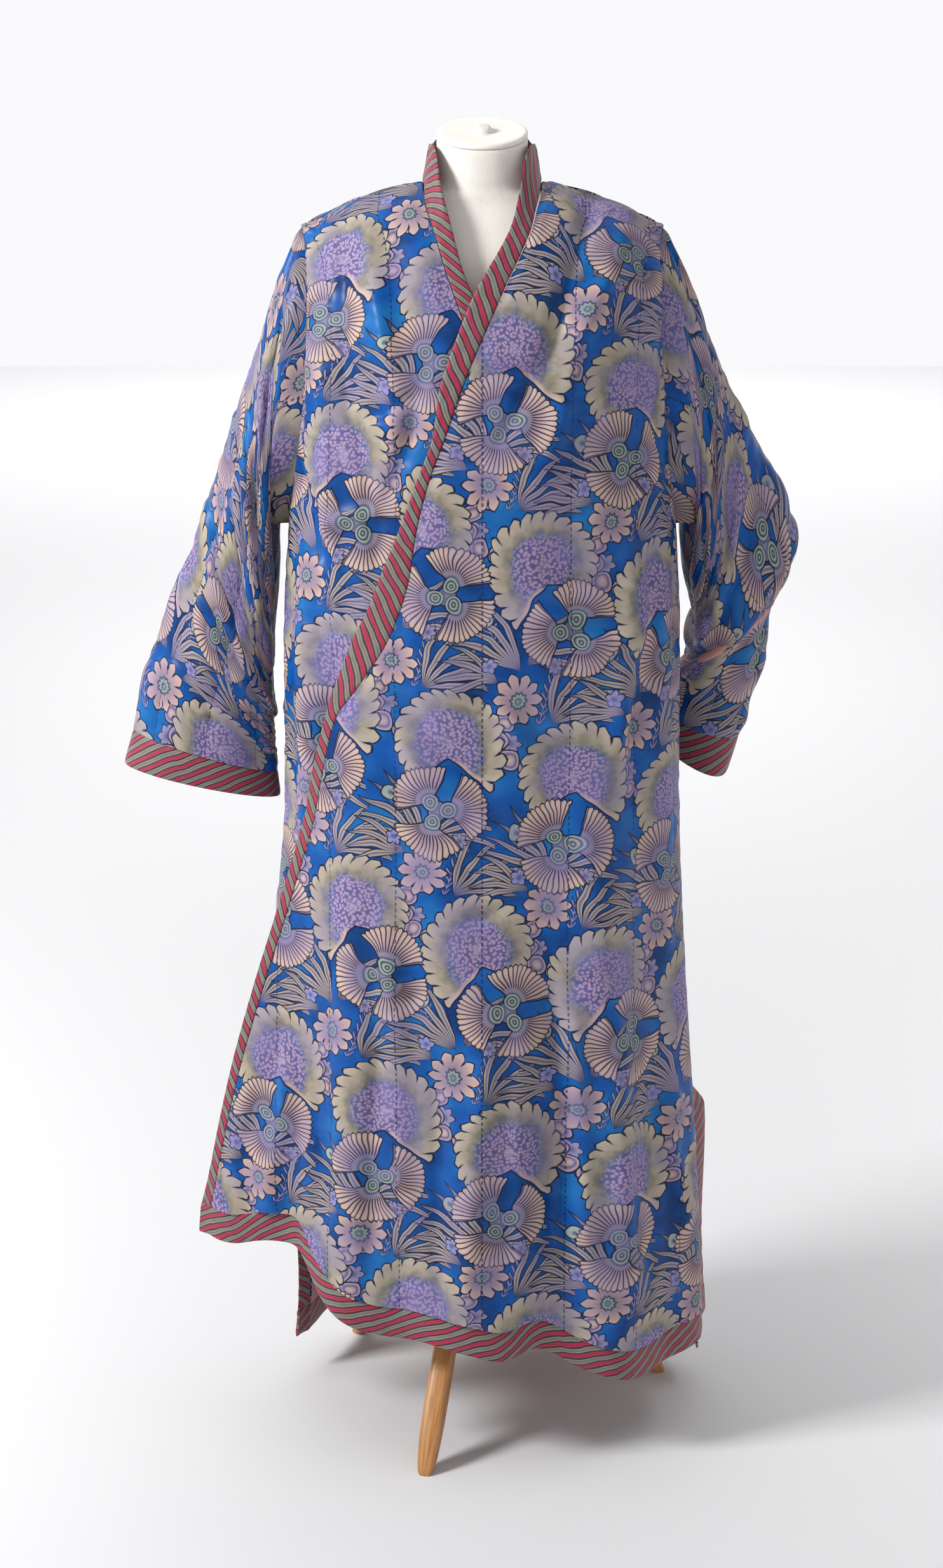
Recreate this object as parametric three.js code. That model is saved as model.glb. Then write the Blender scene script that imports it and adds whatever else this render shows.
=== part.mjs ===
// A quilted wrap robe worn by a limbless dress form on a three-legged stand.
// Millimetres, +Z up. The robe faces -Y, so its own left side is towards +X.
// The body cloth is one drape surface, given by a distance down the cloth from the shoulder ridge (level)
// and an angle round the form: 0 at the front, 90 at the left side, 180 at the back.
// Each panel and band is a patch of that surface, moved out by its layer.
import * as THREE from "three";

// ---- driving dimensions ----
const clothWall = 4; // face cloth, thin wadding and lining, quilted together
const bandWall = 3; // striped edging
const seamGap = 0.3; // between pieces at a seam
const overlapLift = 8; // the left front lies this far outside the right front at the chest
const skirtLift = 6; // and this much more at the skirt
const hemBand = 34;
const slitBand = 26;
const quiltSpacing = 70; // between the lines of running stitch
const quiltRelief = 1.6; // how far the wadding stands up between them
const armpitLevel = 413;
const slitLevel = 1028; // where each side seam stops
const floorLevel = 1413;
const backHem = 44; // height of the back's lower edge
const rightHem = 232; // the under front is hitched up inside
const neckHalfWidth = 62; // of the neckline, at the shoulder ridge
const neckDip = 62; // how far down the back the neckline goes
const squareness = 0.92; // exponent of the body's oval sections
const wingAngle = -40; // the left front leaves the body here and hangs free

// level: down the cloth; z: height at the centre line; drop: how much lower the row is at the side;
// halfWidth, front, back: the section's reach; arm: the angle where the armhole cuts the panels off
const bodySections = [
  { level: 0, z: 1360, drop: 52, halfWidth: 187, front: 0.3, back: 0.3, arm: 90 },
  { level: 30, z: 1353, drop: 50, halfWidth: 188, front: 32, back: 30, arm: 80 },
  { level: 62, z: 1336, drop: 46, halfWidth: 189, front: 60, back: 57, arm: 75 },
  { level: 100, z: 1306, drop: 39, halfWidth: 190, front: 86, back: 78, arm: 72 },
  { level: 140, z: 1270, drop: 31, halfWidth: 191, front: 103, back: 92, arm: 70 },
  { level: 187, z: 1225, drop: 22, halfWidth: 192, front: 116, back: 102, arm: 70 },
  { level: 238, z: 1175, drop: 14, halfWidth: 194, front: 124, back: 108, arm: 70 },
  { level: 298, z: 1115, drop: 7, halfWidth: 197, front: 129, back: 111, arm: 72 },
  { level: 358, z: 1055, drop: 2, halfWidth: 200, front: 132, back: 112, arm: 79 },
  { level: 413, z: 1000, drop: 0, halfWidth: 203, front: 134, back: 112, arm: 90 },
  { level: 513, z: 900, drop: 0, halfWidth: 209, front: 137, back: 114, arm: 90 },
  { level: 713, z: 700, drop: 0, halfWidth: 212, front: 148, back: 124, arm: 90 },
  { level: 913, z: 500, drop: 0, halfWidth: 220, front: 160, back: 144, arm: 90 },
  { level: 1113, z: 300, drop: 0, halfWidth: 233, front: 171, back: 160, arm: 90 },
  { level: 1413, z: 0, drop: 0, halfWidth: 252, front: 182, back: 180, arm: 90 },
];

// Front edges, as distances to +X: seam is where the band is sewn on, free where it ends,
// rise how far the band's free edge stands up off the cloth as it turns into the collar.
const leftEdge = [
  { level: 0, seam: 62, free: 55, rise: 38 },
  { level: 22, seam: 61, free: 49, rise: 38 },
  { level: 45, seam: 59, free: 43, rise: 30 },
  { level: 62, seam: 56, free: 40, rise: 20 },
  { level: 100, seam: 47, free: 27, rise: 3 },
  { level: 164, seam: 20, free: -8, rise: 0 },
  { level: 214, seam: -2, free: -28, rise: 0 },
  { level: 256, seam: -19, free: -42, rise: 0 },
  { level: 308, seam: -37, free: -50, rise: 0 },
  { level: 352, seam: -53, free: -66, rise: 0 },
  { level: 400, seam: -65, free: -83, rise: 0 },
  { level: 451, seam: -73, free: -103, rise: 0 },
  { level: 483, seam: -82, free: -115, rise: 0 },
  { level: 520, seam: -97, free: -132, rise: 0 },
  { level: 567, seam: -126, free: -149, rise: 0 },
  { level: 600, seam: -147, free: -159, rise: 0 },
  { level: 665, seam: -162, free: -174, rise: 0 },
  { level: 715, seam: -171, free: -183, rise: 0 },
  { level: 760, seam: -184, free: -195, rise: 0 },
  { level: 830, seam: -204, free: -215, rise: 0 },
  { level: 895, seam: -224, free: -235, rise: 0 },
  { level: 979, seam: -248, free: -259, rise: 0 },
  { level: 1054, seam: -266, free: -277, rise: 0 },
  { level: 1136, seam: -283, free: -295, rise: 0 },
  { level: 1190, seam: -296, free: -311, rise: 0 },
];
const rightEdge = [
  { level: 0, seam: -62, free: -55, rise: 38 },
  { level: 22, seam: -61, free: -50, rise: 38 },
  { level: 45, seam: -60, free: -46, rise: 30 },
  { level: 62, seam: -58, free: -43, rise: 20 },
  { level: 92, seam: -50, free: -32, rise: 4 },
  { level: 143, seam: -36, free: -18, rise: 0 },
  { level: 192, seam: -19, free: 4, rise: 0 },
  { level: 260, seam: 6, free: 34, rise: 0 },
  { level: 408, seam: 52, free: 82, rise: 0 },
  { level: 600, seam: 92, free: 122, rise: 0 },
  { level: 900, seam: 112, free: 142, rise: 0 },
  { level: 1200, seam: 118, free: 148, rise: 0 },
];

// The height of the left front's lower edge, by distance to +X.
const leftHem = [
  { x: -330, z: 236 },
  { x: -312, z: 234 },
  { x: -286, z: 220 },
  { x: -260, z: 218 },
  { x: -235, z: 225 },
  { x: -215, z: 227 },
  { x: -196, z: 224 },
  { x: -183, z: 208 },
  { x: -166, z: 182 },
  { x: -138, z: 157 },
  { x: -105, z: 146 },
  { x: -54, z: 142 },
  { x: -12, z: 134 },
  { x: 21, z: 126 },
  { x: 59, z: 134 },
  { x: 106, z: 108 },
  { x: 158, z: 90 },
  { x: 202, z: 93 },
  { x: 251, z: 100 },
];

// Long soft folds of the skirt. top and foot: angle at the armpit and at the floor; from: level where the
// fold starts; width: half-width in degrees; height: outwards at the hem, negative for a trough.
const skirtFolds = [
  { top: 68, foot: 72, from: 520, width: 8, height: 7 },
  { top: 50, foot: 53, from: 430, width: 8, height: -8 },
  { top: 30, foot: 33, from: 380, width: 8, height: 12 },
  { top: 14, foot: 16, from: 420, width: 8, height: -10 },
  { top: -4, foot: -1, from: 560, width: 9, height: 9 },
  { top: -20, foot: -18, from: 600, width: 8, height: -8 },
  { top: -35, foot: -36, from: 520, width: 8, height: 8 },
  { top: -54, foot: -56, from: 560, width: 8, height: -9 },
  { top: -72, foot: -78, from: 640, width: 9, height: 7 },
  { top: 112, foot: 110, from: 620, width: 9, height: 9 },
  { top: 129, foot: 130, from: 560, width: 8, height: -8 },
  { top: 147, foot: 147, from: 480, width: 9, height: 13 },
  { top: 164, foot: 164, from: 520, width: 8, height: -8 },
  { top: 181, foot: 180, from: 430, width: 9, height: 14 },
  { top: 199, foot: 197, from: 540, width: 8, height: -8 },
  { top: 217, foot: 215, from: 470, width: 9, height: 12 },
  { top: 236, foot: 234, from: 600, width: 9, height: -7 },
];

// Sleeves as rings from armhole to cuff. outer and inner: the ring's two ends, x away from the body;
// depth: half its thickness from front to back. Written for either side; x is mirrored for the right.
const leftSleeveRings = [
  { along: 0, outerX: 187, outerY: 0, outerZ: 1308, innerX: 204, innerY: 0, innerZ: 1000, depth: 40 },
  { along: 0.1, outerX: 206, outerY: 3, outerZ: 1264, innerX: 217, innerY: 8, innerZ: 962, depth: 46 },
  { along: 0.25, outerX: 238, outerY: 8, outerZ: 1188, innerX: 226, innerY: 20, innerZ: 922, depth: 50 },
  { along: 0.42, outerX: 285, outerY: 12, outerZ: 1096, innerX: 230, innerY: 34, innerZ: 892, depth: 54 },
  { along: 0.54, outerX: 324, outerY: 16, outerZ: 1022, innerX: 231, innerY: 46, innerZ: 868, depth: 56 },
  { along: 0.6, outerX: 334, outerY: 20, outerZ: 992, innerX: 230, innerY: 62, innerZ: 856, depth: 55 },
  { along: 0.7, outerX: 320, outerY: 30, outerZ: 930, innerX: 224, innerY: 92, innerZ: 838, depth: 50 },
  { along: 0.8, outerX: 303, outerY: 44, outerZ: 858, innerX: 213, innerY: 122, innerZ: 820, depth: 46 },
  { along: 0.9, outerX: 286, outerY: 60, outerZ: 782, innerX: 196, innerY: 152, innerZ: 804, depth: 42 },
  { along: 1, outerX: 266, outerY: 76, outerZ: 704, innerX: 176, innerY: 178, innerZ: 784, depth: 42 },
];
const rightSleeveRings = [
  { along: 0, outerX: 187, outerY: 0, outerZ: 1308, innerX: 204, innerY: 0, innerZ: 1000, depth: 40 },
  { along: 0.1, outerX: 206, outerY: 2, outerZ: 1262, innerX: 217, innerY: 4, innerZ: 958, depth: 46 },
  { along: 0.25, outerX: 236, outerY: 4, outerZ: 1178, innerX: 224, innerY: 8, innerZ: 902, depth: 50 },
  { along: 0.45, outerX: 275, outerY: 6, outerZ: 1070, innerX: 226, innerY: 12, innerZ: 846, depth: 52 },
  { along: 0.65, outerX: 314, outerY: 8, outerZ: 958, innerX: 226, innerY: 14, innerZ: 796, depth: 50 },
  { along: 0.85, outerX: 360, outerY: 8, outerZ: 846, innerX: 225, innerY: 14, innerZ: 752, depth: 46 },
  { along: 0.94, outerX: 377, outerY: 7, outerZ: 776, innerX: 222, innerY: 14, innerZ: 728, depth: 46 },
  { along: 1, outerX: 388, outerY: 6, outerZ: 738, innerX: 219, innerY: 14, innerZ: 700, depth: 48 },
];

// Creases across the sleeves. along: share of the sleeve; slant: how far the crease moves along from the
// outer to the inner end; width: its half-width along; height: outwards.
const leftSleeveCreases = [
  { along: 0.3, slant: 0.1, width: 0.05, height: -4 },
  { along: 0.5, slant: 0.12, width: 0.04, height: 6 },
  { along: 0.61, slant: 0.08, width: 0.035, height: -9 },
  { along: 0.68, slant: 0.02, width: 0.03, height: 7 },
  { along: 0.76, slant: -0.04, width: 0.04, height: -6 },
];
const rightSleeveCreases = [
  { along: 0.22, slant: 0.12, width: 0.05, height: -4 },
  { along: 0.48, slant: 0.06, width: 0.05, height: -4 },
  { along: 0.7, slant: -0.05, width: 0.05, height: 4 },
];

// Dress form: z, half-width and reach to front and back of each section.
const formSections = [
  { z: 664, halfWidth: 128, front: 78, back: 74 },
  { z: 672, halfWidth: 150, front: 92, back: 90 },
  { z: 690, halfWidth: 162, front: 101, back: 98 },
  { z: 750, halfWidth: 168, front: 107, back: 102 },
  { z: 850, halfWidth: 148, front: 96, back: 86 },
  { z: 930, halfWidth: 132, front: 88, back: 74 },
  { z: 1010, halfWidth: 142, front: 100, back: 80 },
  { z: 1100, halfWidth: 162, front: 112, back: 90 },
  { z: 1170, halfWidth: 172, front: 106, back: 90 },
  { z: 1234, halfWidth: 174, front: 94, back: 85 },
  { z: 1279, halfWidth: 172, front: 77, back: 73 },
  { z: 1304.2, halfWidth: 164, front: 62, back: 60 },
  { z: 1322.3, halfWidth: 140, front: 54, back: 52 },
  { z: 1334.7, halfWidth: 104, front: 50, back: 49 },
  { z: 1343.6, halfWidth: 66, front: 49, back: 48 },
  { z: 1352, halfWidth: 50, front: 48, back: 48 },
  { z: 1368, halfWidth: 47, front: 47, back: 47 },
  { z: 1400, halfWidth: 47, front: 47, back: 47 },
];
const neckTilt = 16; // degrees, the neck's top faces slightly forward
const poleRadius = 14;
const poleBottom = 226;
const hubRadius = 26;
const hubHeight = 70;
const legReach = 212; // from the pole's axis to the middle of each foot
const legSize = 24;
const firstLeg = -16.6; // degrees from the front

// ---- small helpers ----
const degrees = Math.PI / 180;
const clamp = (v, low, high) => Math.min(high, Math.max(low, v));
const mix = (a, b, t) => a + (b - a) * t;
const smooth = (low, high, v) => {
  const t = clamp((v - low) / (high - low), 0, 1);
  return t * t * (3 - 2 * t);
};
const power = (v, p) => Math.sign(v) * Math.abs(v) ** p;
const steps = (n, from = 0, to = 1) => Array.from({ length: n + 1 }, (_, i) => mix(from, to, i / n));
const bump = (off, width) => Math.exp(-((off / width) ** 2));
const vector = (x, y, z) => new THREE.Vector3(x, y, z);

// Reads a table at a value of its first column, with smooth curves between the rows.
function read(table, at) {
  const keys = Object.keys(table[0]);
  const key = keys[0];
  const last = table.length - 1;
  const v = clamp(at, table[0][key], table[last][key]);
  let i = 0;
  while (i < last - 1 && table[i + 1][key] < v) i++;
  const [r0, r1, r2, r3] = [-1, 0, 1, 2].map((k) => table[clamp(i + k, 0, last)]);
  const span = r2[key] - r1[key];
  const t = (v - r1[key]) / span;
  const made = {};
  for (const k of keys) {
    const slope1 = (r2[k] - r0[k]) / (r2[key] - r0[key]);
    const slope2 = (r3[k] - r1[k]) / (r3[key] - r1[key]);
    const curve = (r2[k] - r1[k]) * t * t * (3 - 2 * t);
    made[k] = r1[k] + curve + span * t * (1 - t) * (slope1 * (1 - t) - slope2 * t);
  }
  return made;
}

// ---- the drape surface ----
function oval(row, angle) {
  const s = power(Math.sin(angle * degrees), squareness);
  const c = power(Math.cos(angle * degrees), squareness);
  const depth = c > 0 ? row.front : row.back;
  return vector(row.halfWidth * s, -depth * c, row.z - row.drop * s * s);
}

// The left front's wing goes straight on from the body towards the lower hem.
function basePoint(level, angle, wing) {
  const row = read(bodySections, level);
  const point = oval(row, angle);
  const share = wing && angle < wingAngle ? smooth(600, 960, level) : 0;
  if (share === 0) return point;
  const root = oval(row, wingAngle);
  const along = root.clone().sub(oval(row, wingAngle + 2)).setZ(0).normalize();
  const reach = (wingAngle - angle) * degrees * (row.halfWidth + row.front) * 0.5;
  return point.lerp(root.addScaledVector(along, reach), share);
}

function baseNormal(level, angle, wing) {
  const from = Math.max(0, level - 3);
  const middle = angle > 90 ? 180 : 0;
  const a = mix(angle, middle, 0.12 * smooth(80, 0, level)); // keeps off the sharp end of the shoulder ridge
  const down = basePoint(from + 6, a, wing).sub(basePoint(from, a, wing));
  const round = basePoint(level, a + 1, wing).sub(basePoint(level, a - 1, wing));
  const normal = down.cross(round);
  normal.y *= smooth(0, 16, level); // upright at the shoulder seam, where front and back meet
  return normal.normalize();
}

function foldHeight(level, angle) {
  const a = angle < -100 ? angle + 360 : angle;
  let sum = 0;
  for (const f of skirtFolds) {
    const middle = mix(f.top, f.foot, (level - armpitLevel) / 1000);
    sum += f.height * smooth(f.from, f.from + 620, level) * bump(a - middle, f.width);
  }
  return sum;
}

function clothPoint(level, angle, lift, wing = false) {
  const fold = wing && angle < -95 ? 0 : foldHeight(level, angle);
  return basePoint(level, angle, wing).addScaledVector(baseNormal(level, angle, wing), fold + lift);
}

function quilting(level, angle) {
  const row = read(bodySections, level);
  const distance = angle * degrees * 0.5 * (row.halfWidth + Math.max(row.front, 60));
  return quiltRelief * 0.5 * (1 - Math.cos((2 * Math.PI * distance) / quiltSpacing));
}

// The angle at which a row of the drape surface reaches a distance to +X, on its front half.
function angleAtX(level, x, wing) {
  let [low, high] = [wing ? -150 : -90, 90];
  for (let i = 0; i < 30; i++) {
    const middle = (low + high) / 2;
    if (basePoint(level, middle, wing).x < x) low = middle;
    else high = middle;
  }
  return (low + high) / 2;
}

// ---- closed walls ----
// Turns the faces outwards if the enclosed volume comes out negative.
function closedGeometry(points, faces) {
  let volume = 0;
  for (let i = 0; i < faces.length; i += 3) {
    const [a, b, c] = [points[faces[i]], points[faces[i + 1]], points[faces[i + 2]]];
    volume += a.dot(b.clone().cross(c));
  }
  const geometry = new THREE.BufferGeometry().setFromPoints(points);
  geometry.setIndex(volume > 0 ? faces : faces.slice().reverse());
  geometry.computeVertexNormals();
  return geometry;
}

// outer and inner: equal grids of points, rows of columns; closed joins the last column to the first.
function wallGeometry(outer, inner, closed = false) {
  const [rows, columns] = [outer.length, outer[0].length];
  const faces = [];
  const at = (side, i, j) => (side * rows + i) * columns + (j % columns);
  const quad = (a, b, c, d) => faces.push(a, b, c, a, c, d);
  const spans = closed ? columns : columns - 1;
  for (let j = 0; j < spans; j++) {
    for (let i = 0; i < rows - 1; i++) {
      quad(at(0, i, j), at(0, i + 1, j), at(0, i + 1, j + 1), at(0, i, j + 1));
      quad(at(1, i, j), at(1, i, j + 1), at(1, i + 1, j + 1), at(1, i + 1, j));
    }
    const end = rows - 1;
    quad(at(0, 0, j), at(0, 0, j + 1), at(1, 0, j + 1), at(1, 0, j));
    quad(at(0, end, j), at(1, end, j), at(1, end, j + 1), at(0, end, j + 1));
  }
  for (let i = 0; i < rows - 1 && !closed; i++) {
    const end = columns - 1;
    quad(at(0, i, 0), at(1, i, 0), at(1, i + 1, 0), at(0, i + 1, 0));
    quad(at(0, i, end), at(0, i + 1, end), at(1, i + 1, end), at(1, i, end));
  }
  return closedGeometry([...outer.flat(), ...inner.flat()], faces);
}

// A solid from rings of points with flat ends.
function loftGeometry(rings) {
  const n = rings[0].length;
  const top = (rings.length - 1) * n;
  const faces = [];
  for (let i = 0; i < rings.length - 1; i++)
    for (let j = 0; j < n; j++) {
      const [a, b] = [i * n + j, i * n + ((j + 1) % n)];
      faces.push(a, b, b + n, a, b + n, a + n);
    }
  for (let j = 1; j < n - 1; j++) faces.push(0, j + 1, j, top, top + j, top + j + 1);
  return closedGeometry(rings.flat(), faces);
}

// Normals of a grid of points from its neighbours; sign picks the side.
function gridNormals(grid, closed, sign) {
  const [rows, columns] = [grid.length, grid[0].length];
  const column = (j) => (closed ? (j + columns) % columns : clamp(j, 0, columns - 1));
  return grid.map((row, i) =>
    row.map((_, j) => {
      const down = grid[Math.min(i + 1, rows - 1)][j].clone().sub(grid[Math.max(i - 1, 0)][j]);
      const round = row[column(j + 1)].clone().sub(row[column(j - 1)]);
      return down.cross(round).normalize().multiplyScalar(sign);
    }),
  );
}

const pushed = (grid, normals, distance) =>
  grid.map((row, i) => row.map((point, j) => point.clone().addScaledVector(normals[i][j], distance)));

function outerPoint({ level, angle, lift = 0, rise = 0 }, wing = false) {
  const point = clothPoint(level, angle, lift, wing);
  return point.setZ(point.z + rise);
}

// A wall over a patch of the drape surface. places: rows of { level, angle, lift }.
function clothWallOf(places, { wall = clothWall, wing = false, quilted = false } = {}) {
  const side = (depth, relief) =>
    places.map((row) =>
      row.map(({ level, angle, lift = 0 }) => {
        const raised = relief ? quilting(level, angle) : 0;
        return clothPoint(level, angle, lift + raised - depth, wing);
      }),
    );
  return wallGeometry(side(0, quilted), side(wall, false));
}

// ---- materials ----
const cloth = (color, roughness) => new THREE.MeshStandardMaterial({ color, roughness, metalness: 0 });
const brocade = cloth(0x4f68a0, 0.5);
const stripes = cloth(0x9c4560, 0.65);
const foam = cloth(0xe9e4dc, 0.8);
const beech = cloth(0xc08848, 0.5);
const steel = new THREE.MeshStandardMaterial({ color: 0xb8bcc0, roughness: 0.35, metalness: 1 });

const robeOnForm = new THREE.Group();
function add(name, geometry, material) {
  const mesh = new THREE.Mesh(geometry, material.clone());
  mesh.name = name;
  robeOnForm.add(mesh);
}

// ---- body panels ----
// Every panel shares these rows down to just below the top of the side slits, then runs to its own hem.
const armholeLevels = [0, 14, 30, 46, 66, 90, 120, 160, 210, 265, 320, 370, armpitLevel];
const sharedLevels = [...armholeLevels, ...steps(11, armpitLevel, slitLevel).slice(1), slitLevel + 20];
const hemShares = steps(5).slice(1);
const rowCount = sharedLevels.length + hemShares.length;
const slitRow = sharedLevels.length - 2;
const rowLevel = (i, bottom) =>
  i < sharedLevels.length
    ? sharedLevels[i]
    : mix(slitLevel + 20, bottom, hemShares[i - sharedLevels.length]);

// Half the seam gap and the slit band, as angles at the side of the body.
const sideAngle = (level, width) => {
  const row = read(bodySections, level);
  return width / (degrees * Math.max(60, (row.front + row.back) / 2));
};
const halfGap = (level) => sideAngle(level, seamGap / 2);
const bandTaper = 1.2; // the slit bands run out to this width at the top of the slit
const slitWidth = (i) => (i < slitRow ? 0 : i === slitRow ? bandTaper : slitBand);

// How far a panel stops short of its side line in each row; it is taken up in the columns beside the edge.
const sideInset = (i, level, share) =>
  halfGap(level) + sideAngle(level, slitWidth(i)) * clamp(1 - share / 0.2, 0, 1);

const armAngle = (level) => Math.min(90, read(bodySections, level).arm);
const edgeGap = seamGap * 0.9; // measured sideways on either side of a slanting front seam

// The left front stands out over the right front, but meets the back flush at its own side seam.
const leftLift = (level, angle) =>
  (overlapLift * smooth(30, 150, level) + skirtLift * smooth(500, 950, level)) * smooth(84, 56, angle);

function leftHemLevel(angle) {
  let level = 1280;
  for (let i = 0; i < 5; i++)
    level = floorLevel - hemBand - read(leftHem, basePoint(level, angle, true).x).z;
  return level;
}
const rightHemLevel = () => floorLevel - hemBand - rightHem;

// How far the back's slit edges are drawn away behind the side line, in degrees, and how far the right one
// curls inwards.
const slitOpening = (level, right) => smooth(slitLevel + 10, 1330, level) * (right ? 18 : 4);
const slitCurl = (level, angle) => -36 * smooth(slitLevel + 10, 1330, level) * smooth(222, 256, angle);

// Rows of a front panel from its side edge to its front seam.
function frontRows(side, edge, hemLevel, columns, lift) {
  const wing = side > 0;
  return steps(rowCount - 1).map((_, i) =>
    columns.map((t) => {
      let level = rowLevel(i, 1280);
      let angle = 0;
      for (let pass = 0; pass < 4; pass++) {
        const x = read(edge, level).seam + side * edgeGap;
        angle = mix(side * armAngle(level), angleAtX(level, x, wing), t);
        angle -= side * sideInset(i, level, t) * (1 - t);
        level = rowLevel(i, hemLevel(angle));
      }
      return { level, angle, lift: lift(level, angle) };
    }),
  );
}

const leftRows = frontRows(1, leftEdge, leftHemLevel, steps(28), leftLift);
const rightRows = frontRows(-1, rightEdge, rightHemLevel, steps(15), () => 0);

// The back's top edge runs along the shoulder ridges and dips round the neck, where the cloth climbs.
const neckColumns = [0, 14, 28, 42, 54, neckHalfWidth].map(
  (x) => Math.asin((x / bodySections[0].halfWidth) ** (1 / squareness)) / (Math.PI / 2),
);
const halfColumns = [...neckColumns, ...steps(10, neckColumns[5]).slice(1)];
const backColumns = [...halfColumns.slice(1).reverse().map((h) => -h), ...halfColumns];
const neckLevel = (x) => neckDip * Math.sqrt(Math.max(0, 1 - (x / neckHalfWidth) ** 2));
const neckRise = (level, x) => 20 * smooth(neckHalfWidth, 20, Math.abs(x)) * smooth(150, 62, level);

const backBottom = floorLevel - hemBand - backHem;
const backPlaces = steps(rowCount - 1).map((_, i) =>
  backColumns.map((share) => {
    const base = rowLevel(i, backBottom);
    const part = Math.abs(share);
    const reach = armAngle(base) - slitOpening(base, share > 0);
    const angle = 180 + Math.sign(share) * (reach * part - sideInset(i, base, 1 - part) * part);
    const x = basePoint(base, angle, false).x;
    const dip = neckLevel(x);
    const level = base < 210 ? mix(dip, 210, base / 210) : base;
    return { level, angle, lift: neckRise(level, x) + slitCurl(level, angle) };
  }),
);

add("left_front", clothWallOf(leftRows, { wing: true, quilted: true }), brocade);
add("right_front", clothWallOf(rightRows, { quilted: true }), brocade);
add("back", clothWallOf(backPlaces, { quilted: true }), brocade);

// ---- bands of the body ----
// A band goes on from a panel's edge, row by row.
const last = (row) => row[row.length - 1];

function frontBandRows(rows, edge, side, spans) {
  return rows.map((row) => {
    const { level, lift } = last(row);
    const { seam, free, rise } = read(edge, level);
    return steps(spans).map((t) => {
      const x = mix(seam - side * edgeGap, free, t);
      return { level, angle: angleAtX(level, x, side > 0), lift, rise: rise * t };
    });
  });
}
// Near the neck the bands stand up, so their thickness follows their own faces.
function addFrontBand(name, places, side) {
  const outer = places.map((row) => row.map((place) => outerPoint(place, side > 0)));
  const normals = gridNormals(outer, false, -side);
  normals[0].forEach((normal) => normal.setY(0).normalize());
  add(name, wallGeometry(outer, pushed(outer, normals, -bandWall)), stripes);
}
const leftBandRows = frontBandRows(leftRows, leftEdge, 1, 2);
const rightBandRows = frontBandRows(rightRows, rightEdge, -1, 2);
addFrontBand("left_front_band", leftBandRows, 1);
addFrontBand("right_front_band", rightBandRows, -1);

// The hem band hangs below a row of places, its corners included.
function hemRows(row) {
  return [seamGap, hemBand * 0.5, hemBand].map((down) =>
    row.map((place) => ({ ...place, level: place.level + down })),
  );
}

// The slit band beside a panel's side edge, from the row at the top of the slit down. flare turns its free
// edge out.
function slitRows(rows, column, sign, flare = () => 0) {
  return rows.slice(slitRow).map((row, i) => {
    const place = row[column];
    const gap = sideAngle(place.level, seamGap);
    const width = sideAngle(place.level, slitWidth(i + slitRow)) - gap;
    return [0, 1].map((t) => ({
      ...place,
      angle: place.angle + sign * (gap + width * t),
      lift: place.lift + t * flare(place.level),
    }));
  });
}
const slitFlare = (level) =>
  20 * smooth(slitLevel, slitLevel + 40, level) * mix(1, 0.45, smooth(1060, 1240, level));
const leftSlit = slitRows(leftRows, 0, 1, slitFlare);
const rightSlit = slitRows(rightRows, 0, -1);
const end = backPlaces[0].length - 1;
const backLeftSlit = slitRows(backPlaces, 0, -1);
const backRightSlit = slitRows(backPlaces, end, 1);
const slitWall = { wall: bandWall };
add("left_front_slit_band", clothWallOf(leftSlit, slitWall), stripes);
add("right_front_slit_band", clothWallOf(rightSlit, slitWall), stripes);
add("back_left_slit_band", clothWallOf(backLeftSlit, slitWall), stripes);
add("back_right_slit_band", clothWallOf(backRightSlit, slitWall), stripes);

const leftHemRow = [last(leftSlit)[1], ...last(leftRows), last(last(leftBandRows))];
const rightHemRow = [last(rightSlit)[1], ...last(rightRows), last(last(rightBandRows))];
const backHemRow = [last(backLeftSlit)[1], ...last(backPlaces), last(backRightSlit)[1]];
add("left_front_hem_band", clothWallOf(hemRows(leftHemRow), { wall: bandWall, wing: true }), stripes);
add("right_front_hem_band", clothWallOf(hemRows(rightHemRow), slitWall), stripes);
add("back_hem_band", clothWallOf(hemRows(backHemRow), slitWall), stripes);

// ---- collar ----
// The collar stands on the back's neckline from shoulder seam to shoulder seam and leans in at its top.
const collarEnd = leftEdge[0].rise; // height at the shoulder seams, where the front bands stop
const collarBack = 68; // height at the middle of the back
const collarLean = neckHalfWidth - leftEdge[0].free;
const neckline = backPlaces[0].slice(10, -10);
const collarOuter = [seamGap, 0.5, 1].map((up) =>
  neckline.map((place, j) => {
    const share = up === seamGap ? 0 : up;
    const middle = Math.sin((Math.PI * j) / (neckline.length - 1));
    const point = outerPoint(place);
    const lean = collarLean * share;
    const height = mix(collarEnd, collarBack, middle) * share;
    const gap = seamGap * (1 - share);
    return point.add(vector((-lean * point.x) / neckHalfWidth, -gap - lean * middle, gap + height));
  }),
);
const collarNormals = gridNormals(collarOuter, false, -1);
collarNormals.forEach((row) => [row[0], last(row)].forEach((normal) => normal.setY(0).normalize()));
add("collar", wallGeometry(collarOuter, pushed(collarOuter, collarNormals, -bandWall)), stripes);

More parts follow.
